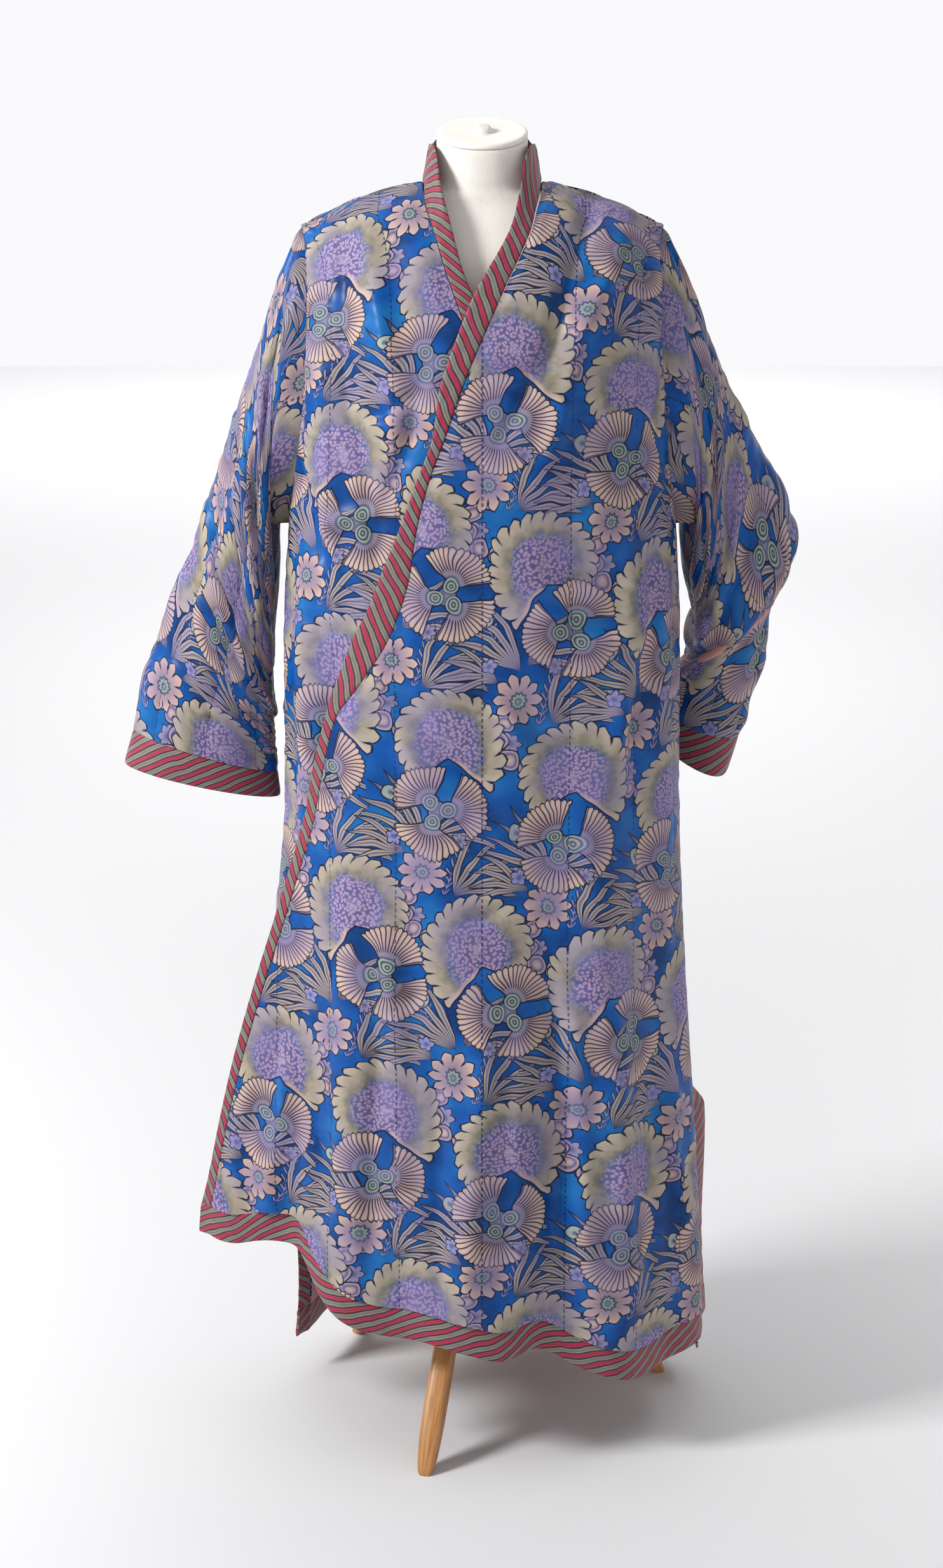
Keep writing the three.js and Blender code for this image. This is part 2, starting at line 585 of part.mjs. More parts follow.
// ---- sleeves ----
// The armhole: the outer edge of a front from shoulder to armpit, then the back's up again.
function armhole(side) {
  const frontPlaces = (side > 0 ? leftRows : rightRows).slice(0, armholeLevels.length).map((row) => row[0]);
  const edge = side > 0 ? 0 : end;
  const behind = backPlaces.slice(0, armholeLevels.length).map((row) => row[edge]);
  const loop = [...frontPlaces, ...behind.slice(1, -1).reverse()];
  return loop.map(({ level, angle, lift }, j) => {
    const outward = j < frontPlaces.length ? side : -side;
    const point = clothPoint(level, angle, lift);
    const inside = clothPoint(level, angle - outward * 2, lift);
    const away = point.clone().sub(inside).normalize();
    if (j === 0 || j === frontPlaces.length - 1) {
      point.y = 0;
      away.set(side, 0, 0);
    }
    const armpit = j === frontPlaces.length - 1;
    const normal = armpit ? vector(-0.6 * side, 0, -1).normalize() : baseNormal(level, angle, false);
    return { point: point.addScaledVector(away, seamGap * 1.3), normal };
  });
}

const armholeClear = 27; // the underarm stands this far off the body just outside the armhole
function sleeveGrid(side, table, creases, shares) {
  const loop = armhole(side);
  const half = loop.length / 2;
  return shares.map((s) => {
    const r = read(table, s);
    const [before, after] = [read(table, Math.max(0, s - 0.02)), read(table, Math.min(1, s + 0.02))];
    const outer = (q) => vector(q.outerX, q.outerY, q.outerZ);
    const inner = (q) => vector(q.innerX, q.innerY, q.innerZ);
    const middle = (q) => outer(q).lerp(inner(q), 0.5);
    const centre = middle(r);
    const reach = outer(r).sub(inner(r)).multiplyScalar(0.5);
    const along = middle(after).sub(middle(before)).normalize();
    const front = along.clone().cross(reach).normalize();
    return loop.map(({ point }, j) => {
      const turn = (Math.PI * j) / half;
      let push = 0;
      for (const c of creases) {
        const where = c.along + c.slant * (1 - Math.cos(turn)) * 0.5;
        push += c.height * bump(s - where, c.width) * smooth(0.1, 0.2, s);
      }
      const made = centre.clone().addScaledVector(reach, Math.cos(turn) * (1 + push / reach.length()));
      made.addScaledVector(front, Math.sin(turn) * (r.depth + push));
      made.x *= side;
      const clear = armholeClear * smooth(0, 0.06, s) * smooth(0.24, 0.08, s) * (1 - Math.cos(turn)) * 0.5;
      const morph = smooth(0, mix(0.12, 0.28, (1 - Math.cos(turn)) / 2), s);
      return point.clone().lerp(made, morph).add(vector(side * clear, 0, 0));
    });
  });
}

// The wadding stands up between lines of stitching that run down the sleeve.
function sleeveWall(side, grid, normals, wall, quilted) {
  const relief = (i, j) => (quilted && i && j % 3 ? quiltRelief : 0);
  const outer = grid.map((row, i) =>
    row.map((point, j) => point.clone().addScaledVector(normals[i][j], relief(i, j))),
  );
  return wallGeometry(outer, pushed(grid, normals, -wall), true);
}

function addSleeve(side, name, table, creases) {
  const clothEnd = 0.94;
  const shares = [...steps(15, 0, clothEnd), clothEnd + 0.0008, 1];
  const grid = sleeveGrid(side, table, creases, shares);
  const normals = gridNormals(grid, true, side);
  const loop = armhole(side);
  normals[0].forEach((normal, j) => normal.copy(loop[j].normal));
  const bandFrom = shares.length - 2;
  add(name, sleeveWall(side, grid.slice(0, bandFrom), normals, clothWall, true), brocade);
  const band = sleeveWall(side, grid.slice(bandFrom), normals.slice(bandFrom), bandWall, false);
  add(name + "_cuff_band", band, stripes);
}
addSleeve(1, "left_sleeve", leftSleeveRings, leftSleeveCreases);
addSleeve(-1, "right_sleeve", rightSleeveRings, rightSleeveCreases);

// ---- dress form ----
const ringOf = (n, point) => steps(n - 1).map((_, j) => point((2 * Math.PI * j) / n));

const formRings = formSections.map(({ z, halfWidth, front, back }, i) => {
  const tilt = i === formSections.length - 1 ? Math.tan(neckTilt * degrees) : 0;
  return ringOf(28, (turn) => {
    const [s, c] = [Math.sin(turn), Math.cos(turn)];
    const y = -(c > 0 ? front : back) * c;
    return vector(halfWidth * s, y, z + y * tilt);
  });
});
add("form_torso", loftGeometry(formRings), foam);

const capRings = [
  { radius: 47, up: seamGap },
  { radius: 47, up: 4 },
  { radius: 44, up: 6.5 },
].map(({ radius, up }) =>
  ringOf(28, (turn) => {
    const y = -radius * Math.cos(turn);
    return vector(radius * Math.sin(turn), y, 1400 + up + y * Math.tan(neckTilt * degrees));
  }),
);
add("form_neck_cap", loftGeometry(capRings), foam);

// ---- stand ----
const poleTop = formSections[0].z - seamGap;
const circle = (radius, z) => ringOf(20, (t) => vector(radius * Math.sin(t), -radius * Math.cos(t), z));
const post = (radius, from, to) => loftGeometry([circle(radius, from), circle(radius, to)]);
add("stand_pole", post(poleRadius, poleBottom + hubHeight + seamGap, poleTop), steel);
add("stand_hub", post(hubRadius, poleBottom, poleBottom + hubHeight), beech);

// Legs: reach from the pole's axis, height and size along each leg, down to a flat foot.
const legSections = [
  { reach: 38.3, z: 286, size: legSize },
  { reach: 50, z: 246, size: legSize },
  { reach: 128, z: 130, size: legSize },
  { reach: 186, z: 44, size: legSize },
  { reach: 204, z: 14, size: 20 },
  { reach: legReach, z: 0, size: 15 },
];
function legGeometry(turn) {
  const [dx, dy] = [Math.sin(turn * degrees), -Math.cos(turn * degrees)];
  return loftGeometry(
    legSections.map(({ reach, z, size }) => {
      const corner = size * 0.3;
      const half = size / 2;
      const outline = [
        [-half, -corner], [-corner, -half], [corner, -half], [half, -corner],
        [half, corner], [corner, half], [-corner, half], [-half, corner],
      ];
      return outline.map(([across, out]) =>
        vector(dx * (reach + out) + dy * across, dy * (reach + out) - dx * across, z),
      );
    }),
  );
}
[0, 120, 240].forEach((turn, i) => add("stand_leg_" + (i + 1), legGeometry(firstLeg + turn), beech));

// ---- the part's frame: the middle of its box, on the floor ----
const box = new THREE.Box3().setFromObject(robeOnForm);
const middle = box.getCenter(vector(0, 0, 0));
robeOnForm.position.set(-middle.x, -middle.y, -box.min.z);
robeOnForm.updateMatrixWorld(true);

export default robeOnForm;
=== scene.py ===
import math

import bpy
import numpy as np
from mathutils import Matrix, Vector


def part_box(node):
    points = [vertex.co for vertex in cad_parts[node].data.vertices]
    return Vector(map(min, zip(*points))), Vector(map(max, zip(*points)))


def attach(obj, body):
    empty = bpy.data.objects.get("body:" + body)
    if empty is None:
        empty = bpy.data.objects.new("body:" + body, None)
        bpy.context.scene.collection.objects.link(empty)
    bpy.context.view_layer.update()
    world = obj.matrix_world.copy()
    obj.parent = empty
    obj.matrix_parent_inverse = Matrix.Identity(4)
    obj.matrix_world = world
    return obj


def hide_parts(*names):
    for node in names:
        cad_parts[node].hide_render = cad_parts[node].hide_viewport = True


# Quilted wrap robe of flowered silk brocade with a striped bias edging, on a limbless dress form.
# Lengths in the dictionaries are millimetres; placed() turns them into the frame's metres.
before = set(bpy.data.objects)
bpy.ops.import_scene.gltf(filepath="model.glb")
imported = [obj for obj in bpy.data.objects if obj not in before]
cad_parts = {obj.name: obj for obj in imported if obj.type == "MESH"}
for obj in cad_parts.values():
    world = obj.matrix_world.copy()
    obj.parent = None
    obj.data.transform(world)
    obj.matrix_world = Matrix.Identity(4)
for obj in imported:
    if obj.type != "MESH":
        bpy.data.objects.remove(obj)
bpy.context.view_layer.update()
poleLow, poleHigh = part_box("stand_pole")
formAxis = np.array([(poleLow[0] + poleHigh[0]) / 2, (poleLow[1] + poleHigh[1]) / 2, 0])
degrees = math.pi / 180
print("frame loaded")

view = {
    "camera": (-11, -3000, 1457),  # from the stand's pole
    "tilt": 13.9,  # degrees below level
    "lens": 65.36,
    "sensor": 36,
    "floor": 0xD6D6D7,
    "floorSize": 12000,
    "power": 0.27,  # of every lamp and the surroundings
    "around": 0.55,  # strength of the light from above
    "wall": 3.62,  # and of the lit walls
}


def linear(colour, alpha=1.0):
    # sRGB hex to linear RGBA
    parts = [((colour >> shift) & 255) / 255 for shift in (16, 8, 0)]
    return (*(c / 12.92 if c <= 0.04045 else ((c + 0.055) / 1.055) ** 2.4 for c in parts), alpha)


def placed(points):
    return np.asarray(points, float) / 1000 + formAxis


def addNode(tree, kind, *values, output=0, **settings):
    node = tree.nodes.new("ShaderNode" + kind)
    for name, value in settings.items():
        setattr(node, name, value)
    for socket, value in zip(node.inputs, values):
        if isinstance(value, bpy.types.NodeSocket):
            tree.links.new(value, socket)
        elif value is not None:
            socket.default_value = value
    return node.outputs[output]


def newMaterial(name):
    material = bpy.data.materials.new(name)
    material.use_nodes = True
    return material, material.node_tree, material.node_tree.nodes["Principled BSDF"]


def setStops(socket, stops):
    # stops of a colour ramp: (position, hex colour) or (position, hex colour, alpha)
    ramp = socket.node.color_ramp
    while len(ramp.elements) < len(stops):
        ramp.elements.new(0.5)
    for element, (position, colour, *alpha) in zip(ramp.elements, stops):
        element.position = position
        element.color = linear(colour, *alpha)
    return socket


def buildStudio():
    scene = bpy.context.scene
    camera = bpy.data.objects.new("camera", bpy.data.cameras.new("camera"))
    camera.data.lens = view["lens"]
    camera.data.sensor_fit = "VERTICAL"
    camera.data.sensor_height = view["sensor"]
    camera.location = Vector(placed(view["camera"]))
    camera.rotation_euler = ((90 - view["tilt"]) * degrees, 0, 0)
    scene.collection.objects.link(camera)
    scene.camera = camera
    scene.view_settings.view_transform = "Standard"  # white paper shows as white
    size = view["floorSize"] / 1000
    mesh = bpy.data.meshes.new("studio_floor")
    corners = [(-size, -size, 0), (size, -size, 0), (size, size, 0), (-size, size, 0)]
    mesh.from_pydata(corners, [], [(0, 1, 2, 3)])
    floor = bpy.data.objects.new("studio_floor", mesh)
    scene.collection.objects.link(floor)
    material, tree, surface = newMaterial("matt white studio paper")  # even, no gloss
    surface.inputs["Base Color"].default_value = linear(view["floor"])
    surface.inputs["Roughness"].default_value = 0.9
    mesh.materials.append(material)
    world = bpy.data.worlds.new("studio")
    scene.world = world
    world.use_nodes = True
    background = world.node_tree.nodes["Background"]
    # brighter low down all round, as inside lit white walls
    tree = world.node_tree
    direction = addNode(tree, "TexCoord", output=0)
    high = addNode(tree, "SeparateXYZ", direction, output=2)
    low, above = view["wall"] * view["power"], view["around"] * view["power"]
    walls = addNode(tree, "MapRange", high, 0.3, 0.6, low, above)
    background.inputs["Color"].default_value = linear(0xFCFCFF)
    tree.links.new(walls, background.inputs["Strength"])
    lights = [  # name, place, size, watts, aimed at this height, spread in degrees
        ("key_softbox", (-2500, -1150, 2600), 0.8, 430, 850, 180),
        ("fill_softbox", (2000, -2600, 1700), 2.0, 16, 800, 180),
        ("top_softbox", (0, 300, 3300), 2.4, 66, 0, 180),
        ("left_floor_lamp", (-2700, 300, 3100), 2.2, 140, None, 80),
        ("right_floor_lamp", (2700, 300, 3100), 2.2, 140, None, 80),
        ("back_floor_lamp", (0, 3400, 3200), 3.0, 80, None, 86),
        ("far_floor_lamp", (0, 9500, 7000), 9.0, 1700, None, 110),
    ]
    for name, place, across, watts, aim, spread in lights:
        data = bpy.data.lights.new(name, "AREA")
        data.size = across
        data.energy = watts * view["power"]
        data.spread = spread * degrees
        light = bpy.data.objects.new(name, data)
        light.location = Vector(placed(place))
        if aim is not None:  # the others face straight down
            away = Vector(placed(place)) - Vector(placed((0, 0, aim)))
            light.rotation_euler = away.to_track_quat("Z", "Y").to_euler()
        scene.collection.objects.link(light)


buildStudio()
print("studio ready")

robe = {
    "wall": 4,  # face silk, thin wadding and lining together
    "edging": 3,
    "seamGap": 0.3,
    "overlapLift": 8,
    "skirtLift": 6,
    "hemBand": 34,
    "slitBand": 26,
    "quiltSpacing": 70,
    "quiltRelief": 3.0,
    "puckers": 1.7,
    "creaseDepth": 2.1,
    "armpit": 413,
    "slit": 1028,
    "floor": 1413,
    "backHem": 44,
    "rightHem": 232,
    "neckHalfWidth": 62,
    "neckDip": 62,
    "squareness": 0.92,
    "wingAngle": -40,
}
bodySections = ("level z drop halfWidth front back arm", [
    (0, 1360, 52, 187, 0.3, 0.3, 90), (30, 1353, 50, 188, 32, 30, 80), (62, 1336, 46, 189, 60, 57, 75),
    (100, 1306, 39, 190, 86, 78, 72), (140, 1270, 31, 191, 103, 92, 70), (187, 1225, 22, 192, 116, 102, 70),
    (238, 1175, 14, 194, 124, 108, 70), (298, 1115, 7, 197, 129, 111, 72), (358, 1055, 2, 200, 132, 112, 79),
    (413, 1000, 0, 203, 134, 112, 90), (513, 900, 0, 209, 137, 114, 90), (713, 700, 0, 212, 148, 124, 90),
    (913, 500, 0, 220, 160, 144, 90), (1113, 300, 0, 233, 171, 160, 90), (1413, 0, 0, 252, 182, 180, 90),
])
leftEdge = ("level seam free rise", [
    (0, 62, 55, 38), (22, 61, 49, 38), (45, 59, 43, 30), (62, 56, 40, 20), (100, 47, 27, 3), (164, 20, -8, 0),
    (214, -2, -28, 0), (256, -19, -42, 0), (308, -37, -50, 0), (352, -53, -66, 0), (400, -65, -83, 0),
    (451, -73, -103, 0), (483, -82, -115, 0), (520, -97, -132, 0), (567, -126, -149, 0), (600, -147, -159, 0),
    (665, -162, -174, 0), (715, -171, -183, 0), (760, -184, -195, 0), (830, -204, -215, 0),
    (895, -224, -235, 0), (979, -248, -259, 0), (1054, -266, -277, 0), (1136, -283, -295, 0),
    (1190, -296, -311, 0),
])
rightEdge = ("level seam free rise", [
    (0, -62, -55, 38), (22, -61, -50, 38), (45, -60, -46, 30), (62, -58, -43, 20), (92, -50, -32, 4),
    (143, -36, -18, 0), (192, -19, 4, 0), (260, 6, 34, 0), (408, 52, 82, 0), (600, 92, 122, 0),
    (900, 112, 142, 0), (1200, 118, 148, 0),
])
leftHem = ("x z", [
    (-330, 236), (-312, 234), (-286, 220), (-260, 218), (-235, 225), (-215, 227), (-196, 224), (-183, 208),
    (-166, 182), (-138, 157), (-105, 146), (-54, 142), (-12, 134), (21, 126), (59, 134), (106, 108),
    (158, 90),
    (202, 93), (251, 100),
])
# top and foot: angles at the armpit and the floor; height is outwards, negative for a trough
skirtFolds = [  # top, foot, from, width, height
    (68, 72, 520, 8, 7), (50, 53, 430, 8, -8), (30, 33, 380, 8, 12), (14, 16, 420, 8, -10),
    (-4, -1, 560, 9, 9),
    (-20, -18, 600, 8, -8), (-35, -36, 520, 8, 8), (-54, -56, 560, 8, -9), (-72, -78, 640, 9, 7),
    (112, 110, 620, 9, 9), (129, 130, 560, 8, -8), (147, 147, 480, 9, 13), (164, 164, 520, 8, -8),
    (181, 180, 430, 9, 14), (199, 197, 540, 8, -8), (217, 215, 470, 9, 12), (236, 234, 600, 9, -7),
]


def smooth(low, high, value):
    t = np.clip((np.asarray(value, float) - low) / (high - low), 0, 1)
    return t * t * (3 - 2 * t)


def mix(a, b, t):
    return a + (b - a) * t


def bump(off, width):
    return np.exp(-((off / width) ** 2))


def read(table, at):
    # a table at values of its first column, smooth between the rows
    names, rows = table[0].split(), np.array(table[1], float)
    keys, last = rows[:, 0], len(rows) - 1
    value = np.clip(np.asarray(at, float), keys[0], keys[-1])
    i = np.clip(np.searchsorted(keys, value) - 1, 0, last - 1)
    r0, r1, r2, r3 = (rows[np.clip(i + k, 0, last)] for k in (-1, 0, 1, 2))
    span = r2[..., :1] - r1[..., :1]
    t = (value[..., None] - r1[..., :1]) / span
    slope1 = (r2 - r0) / (r2[..., :1] - r0[..., :1])
    slope2 = (r3 - r1) / (r3[..., :1] - r1[..., :1])
    made = r1 + (r2 - r1) * t * t * (3 - 2 * t) + span * t * (1 - t) * (slope1 * (1 - t) - slope2 * t)
    return {name: made[..., k] for k, name in enumerate(names)}


def unit(v):
    return v / np.maximum(np.linalg.norm(v, axis=-1, keepdims=True), 1e-9)


def oval(row, angle):
    sine, cosine = np.sin(angle * degrees), np.cos(angle * degrees)
    s = np.sign(sine) * np.abs(sine) ** robe["squareness"]
    c = np.sign(cosine) * np.abs(cosine) ** robe["squareness"]
    depth = np.where(c > 0, row["front"], row["back"])
    return np.stack([row["halfWidth"] * s, -depth * c, row["z"] - row["drop"] * s * s], -1)


def basePoint(level, angle, wing):
    level, angle = np.broadcast_arrays(np.asarray(level, float), np.asarray(angle, float))
    row = read(bodySections, level)
    point = oval(row, angle)
    if not wing:
        return point
    wingAngle = robe["wingAngle"]
    share = np.where(angle < wingAngle, smooth(600, 960, level), 0)[..., None]
    root = oval(row, np.full_like(angle, wingAngle))
    along = root - oval(row, np.full_like(angle, wingAngle + 2))
    along[..., 2] = 0
    reach = (wingAngle - angle) * degrees * (row["halfWidth"] + row["front"]) * 0.5
    return mix(point, root + unit(along) * reach[..., None], share)


def baseNormal(level, angle, wing):
    start = np.maximum(0, level - 3)
    middle = np.where(angle > 90, 180, 0)
    a = mix(angle, middle, 0.12 * smooth(80, 0, level))
    down = basePoint(start + 6, a, wing) - basePoint(start, a, wing)
    across = basePoint(level, a + 1, wing) - basePoint(level, a - 1, wing)
    normal = np.cross(down, across)
    normal[..., 1] *= smooth(0, 16, level)
    return unit(normal)


def foldHeight(level, angle):
    a = np.where(angle < -100, angle + 360, angle)
    total = np.zeros(np.broadcast(level, angle).shape)
    for top, foot, start, width, height in skirtFolds:
        middle = mix(top, foot, (level - robe["armpit"]) / 1000)
        total += height * smooth(start, start + 620, level) * bump(a - middle, width)
    return total


def clothPoint(level, angle, lift, wing=False):
    fold = foldHeight(level, angle)
    if wing:
        fold = np.where(angle < -95, 0, fold)
    return basePoint(level, angle, wing) + baseNormal(level, angle, wing) * (fold + lift)[..., None]


def quiltDistance(level, angle):
    row = read(bodySections, level)
    return angle * degrees * 0.5 * (row["halfWidth"] + np.maximum(row["front"], 60))


def angleAtX(level, x, wing):
    low = np.full(np.broadcast(level, x).shape, -150.0 if wing else -90.0)
    high = np.full_like(low, 90.0)
    for _ in range(26):
        middle = (low + high) / 2
        short = basePoint(level, middle, wing)[..., 0] < x
        low, high = np.where(short, middle, low), np.where(short, high, middle)
    return (low + high) / 2


def sideAngle(level, width):
    row = read(bodySections, level)
    return width / (degrees * np.maximum(60, (row["front"] + row["back"]) / 2))


def slitWidth(level):
    # the slit bands run out to nothing at the top of the slit
    opened = np.clip((level - robe["slit"]) / 20, 0, 1)
    return np.where(level < robe["slit"], 0, mix(1.2, robe["slitBand"], opened))


def sideInset(level, share):
    gap = sideAngle(level, robe["seamGap"] / 2)
    return gap + sideAngle(level, slitWidth(level)) * np.clip(1 - share / 0.2, 0, 1)


def armAngle(level):
    return np.minimum(90, read(bodySections, level)["arm"])


def leftLift(level, angle):
    rise = robe["overlapLift"] * smooth(30, 150, level) + robe["skirtLift"] * smooth(500, 950, level)
    return rise * smooth(84, 56, angle)


def leftHemLevel(angle):
    level = np.full_like(angle, 1280.0)
    for _ in range(5):
        x = basePoint(level, angle, True)[..., 0]
        level = robe["floor"] - robe["hemBand"] - read(leftHem, x)["z"]
    return level


def rowLevels(shares, bottom):
    # shares from 0 at the shoulder to 1 at the hem; every panel has the same rows down to the slit
    split = 0.78
    shared = robe["slit"] + 20
    upper = shares / split * shared
    lower = mix(shared, bottom, (shares - split) / (1 - split))
    return np.where(shares < split, upper, lower)


def frontPlaces(side, edge, hemLevel, shares, columns, lift):
    wing = side > 0
    s, t = np.meshgrid(shares, columns, indexing="ij")
    level = rowLevels(s, np.full_like(s, 1280.0))
    for _ in range(4):
        x = read(edge, level)["seam"] + side * robe["seamGap"] * 0.9
        angle = mix(side * armAngle(level), angleAtX(level, x, wing), t)
        angle = angle - side * sideInset(level, t) * (1 - t)
        level = rowLevels(s, hemLevel(angle))
    return level, angle, lift(level, angle)


def neckLevel(x):
    return robe["neckDip"] * np.sqrt(np.maximum(0, 1 - (x / robe["neckHalfWidth"]) ** 2))


def neckRise(level, x):
    return 20 * smooth(robe["neckHalfWidth"], 20, np.abs(x)) * smooth(150, 62, level)


def slitOpening(level, right):
    return smooth(robe["slit"] + 10, 1330, level) * np.where(right, 18, 4)


def slitCurl(level, angle):
    return -36 * smooth(robe["slit"] + 10, 1330, level) * smooth(222, 256, angle)


def backPlaces(shares, columns):
    bottom = robe["floor"] - robe["hemBand"] - robe["backHem"]
    s, share = np.meshgrid(shares, columns, indexing="ij")
    base = rowLevels(s, bottom)
    part = np.abs(share)
    reach = armAngle(base) - slitOpening(base, share > 0)
    angle = 180 + np.sign(share) * (reach * part - sideInset(base, 1 - part) * part)
    x = basePoint(base, angle, False)[..., 0]
    level = np.where(base < 210, mix(neckLevel(x), 210, base / 210), base)
    return level, angle, neckRise(level, x) + slitCurl(level, angle)


def meshObject(name, points, faces, layers, faceSlots, materials, sharpAngle=50):
    # closed quad meshes; the faces are turned outwards if they enclose a negative volume
    a, b, c, d = (points[faces[:, k]] for k in range(4))
    volume = np.einsum("ij,ij->", a, np.cross(b, c)) + np.einsum("ij,ij->", a, np.cross(c, d))
    if volume < 0:
        faces = faces[:, ::-1]
        layers = {key: uvs[:, ::-1] for key, uvs in layers.items()}
    mesh = bpy.data.meshes.new(name)
    mesh.vertices.add(len(points))
    mesh.vertices.foreach_set("co", placed(points).astype(np.float32).ravel())
    mesh.loops.add(faces.size)
    mesh.polygons.add(len(faces))
    mesh.loops.foreach_set("vertex_index", faces.astype(np.int32).ravel())
    mesh.polygons.foreach_set("loop_start", np.arange(0, faces.size, 4, dtype=np.int32))
    mesh.polygons.foreach_set("material_index", faceSlots.astype(np.int32))
    mesh.update()
    mesh.validate()
    for key, uvs in layers.items():
        layer = mesh.uv_layers.new(name=key)
        layer.data.foreach_set("uv", (uvs / 1000).astype(np.float32).ravel())
    mesh.polygons.foreach_set("use_smooth", np.ones(len(faces), bool))
    mesh.set_sharp_from_angle(angle=sharpAngle * degrees)
    for material in materials:
        mesh.materials.append(material)
    obj = bpy.data.objects.new(name, mesh)
    bpy.context.scene.collection.objects.link(obj)
    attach(obj, "root")
    return obj


def wallObject(name, outer, inner, uv, materials, closed=False, slots=(0, 1, 0), quilt=None):
    # a wall between two equal grids of points; uv in mm has one column more where the wall is closed
    rows, columns = outer.shape[:2]
    points = np.concatenate([outer.reshape(-1, 3), inner.reshape(-1, 3)])
    spans = columns if closed else columns - 1
    i, j = (k.ravel() for k in np.meshgrid(np.arange(rows - 1), np.arange(spans), indexing="ij"))
    after = (j + 1) % columns

    def at(side, row, column):
        return (side * rows + row) * columns + column

    def quad(*corners):
        return np.stack(corners, -1)

    faces = [
        quad(at(0, i, j), at(0, i + 1, j), at(0, i + 1, after), at(0, i, after)),
        quad(at(1, i, j), at(1, i, after), at(1, i + 1, after), at(1, i + 1, j)),
    ]
    corners = [
        [(i, j), (i + 1, j), (i + 1, j + 1), (i, j + 1)],
        [(i, j), (i, j + 1), (i + 1, j + 1), (i + 1, j)],
    ]
    k, after = np.arange(spans), (np.arange(spans) + 1) % columns
    end = rows - 1
    top, low = np.zeros_like(k), np.full_like(k, end)
    faces += [
        quad(at(0, top, k), at(0, top, after), at(1, top, after), at(1, top, k)),
        quad(at(0, low, k), at(1, low, k), at(1, low, after), at(0, low, after)),
    ]
    corners += [
        [(top, k), (top, k + 1), (top, k + 1), (top, k)],
        [(low, k), (low, k), (low, k + 1), (low, k + 1)],
    ]
    if not closed:
        k, edge = np.arange(rows - 1), columns - 1
        first, final = np.zeros_like(k), np.full_like(k, edge)
        faces += [
            quad(at(0, k, first), at(1, k, first), at(1, k + 1, first), at(0, k + 1, first)),
            quad(at(0, k, final), at(0, k + 1, final), at(1, k + 1, final), at(1, k, final)),
        ]
        corners += [
            [(k, first), (k, first), (k + 1, first), (k + 1, first)],
            [(k, final), (k + 1, final), (k + 1, final), (k, final)],
        ]
    layers = {
        key: np.concatenate([np.stack([values[place] for place in places], 1) for places in corners])
        for key, values in (("cloth", uv), ("quilt", quilt)) if values is not None
    }
    faceSlots = np.concatenate([
        np.full(len(faces[0]), slots[0]), np.full(len(faces[1]), slots[1]),
        np.full(sum(len(f) for f in faces[2:]), slots[2]),
    ])
    return meshObject(name, points, np.concatenate(faces), layers, faceSlots, materials)


def gridNormals(grid, closed, sign):
    if closed:
        across = np.roll(grid, -1, 1) - np.roll(grid, 1, 1)
    else:
        across = np.gradient(grid, axis=1)
    return unit(np.cross(np.gradient(grid, axis=0), across)) * sign


# soft uneven ripples between the lines of quilting; seeded, so the same each time
rippleSeeds = np.random.default_rng(7).uniform(0, 2 * math.pi, (40, 6))


def puckers(across, down, spacing, strength=1.0):
    # the running stitch gathers the silk a little, so short ripples cross each channel
    channel = np.floor(across / spacing).astype(int) % 40
    place = across / spacing - np.floor(across / spacing)
    phases = rippleSeeds[channel]
    total = np.zeros_like(across)
    for k, (wave, height) in enumerate([(17, 0.30), (26, 0.34), (41, 0.40), (73, 0.45)]):
        slant = np.sin(phases[..., k] * 3) * 0.5
        total += height * np.sin(2 * math.pi * (down + slant * across) / wave + phases[..., k])
    envelope = 0.35 + 0.65 * np.abs(np.cos(math.pi * place)) ** 1.5
    uneven = 0.6 + 0.4 * np.sin(down / 97 + phases[..., 4]) * np.sin(down / 41 + phases[..., 5])
    return strength * total * envelope * uneven


def quiltRelief(across, spacing, relief):
    # the wadding stands up between the stitch lines and dips sharply at each
    dip = 0.5 * (1 - np.cos(2 * math.pi * across / spacing))
    return relief * dip ** 0.6


def arcLength(level, angle, start, wing):
    # signed distance round the cloth at one level, from the angle start
    total = np.zeros(np.broadcast(level, angle).shape)
    before = basePoint(level, np.full_like(total, start), wing)
    for k in range(1, 21):
        point = basePoint(level, mix(start, angle, k / 20), wing)
        total += np.linalg.norm(point - before, axis=-1)
        before = point
    return total * np.sign(angle - start)


def turned(u, v, angle, offset=(0, 0)):
    # fabric coordinates on the grain: angle turns the lengthwise threads, offset moves the repeat
    c, s = math.cos(angle * degrees), math.sin(angle * degrees)
    return np.stack([u * c - v * s + offset[0], u * s + v * c + offset[1]], -1)


brocade = {
    "column": 120,  # mm between the columns of flowers
    "repeat": 220,  # and between flowers down a column; every second one is mirrored
    "drop": 55,  # each column starts this much lower than the one before
    "ground": 0x0A4C96,
    "groundShade": 0x05346C,
    # lighter blue painted on the satin ground as sheen
    "groundPaintedSheen": 0x1A66A4,
    "ink": 0x121A3A,
    "straw": 0x978D7F,
    "strawPale": 0xAEA393,
    "rose": 0xA38A8B,
    "rosePale": 0xBBA298,
    "lilac": 0x857D9C,
    "violet": 0x56547E,
    "slate": 0x4D5C80,
    "celadon": 0x93A196,
    "lavender": 0x8384B4,
    "threads": 0.9,  # mm between weft threads, drawn coarser than the real 0.3 so that they show
    "stitch": 6.5,  # length of one quilting stitch and the gap after it
}


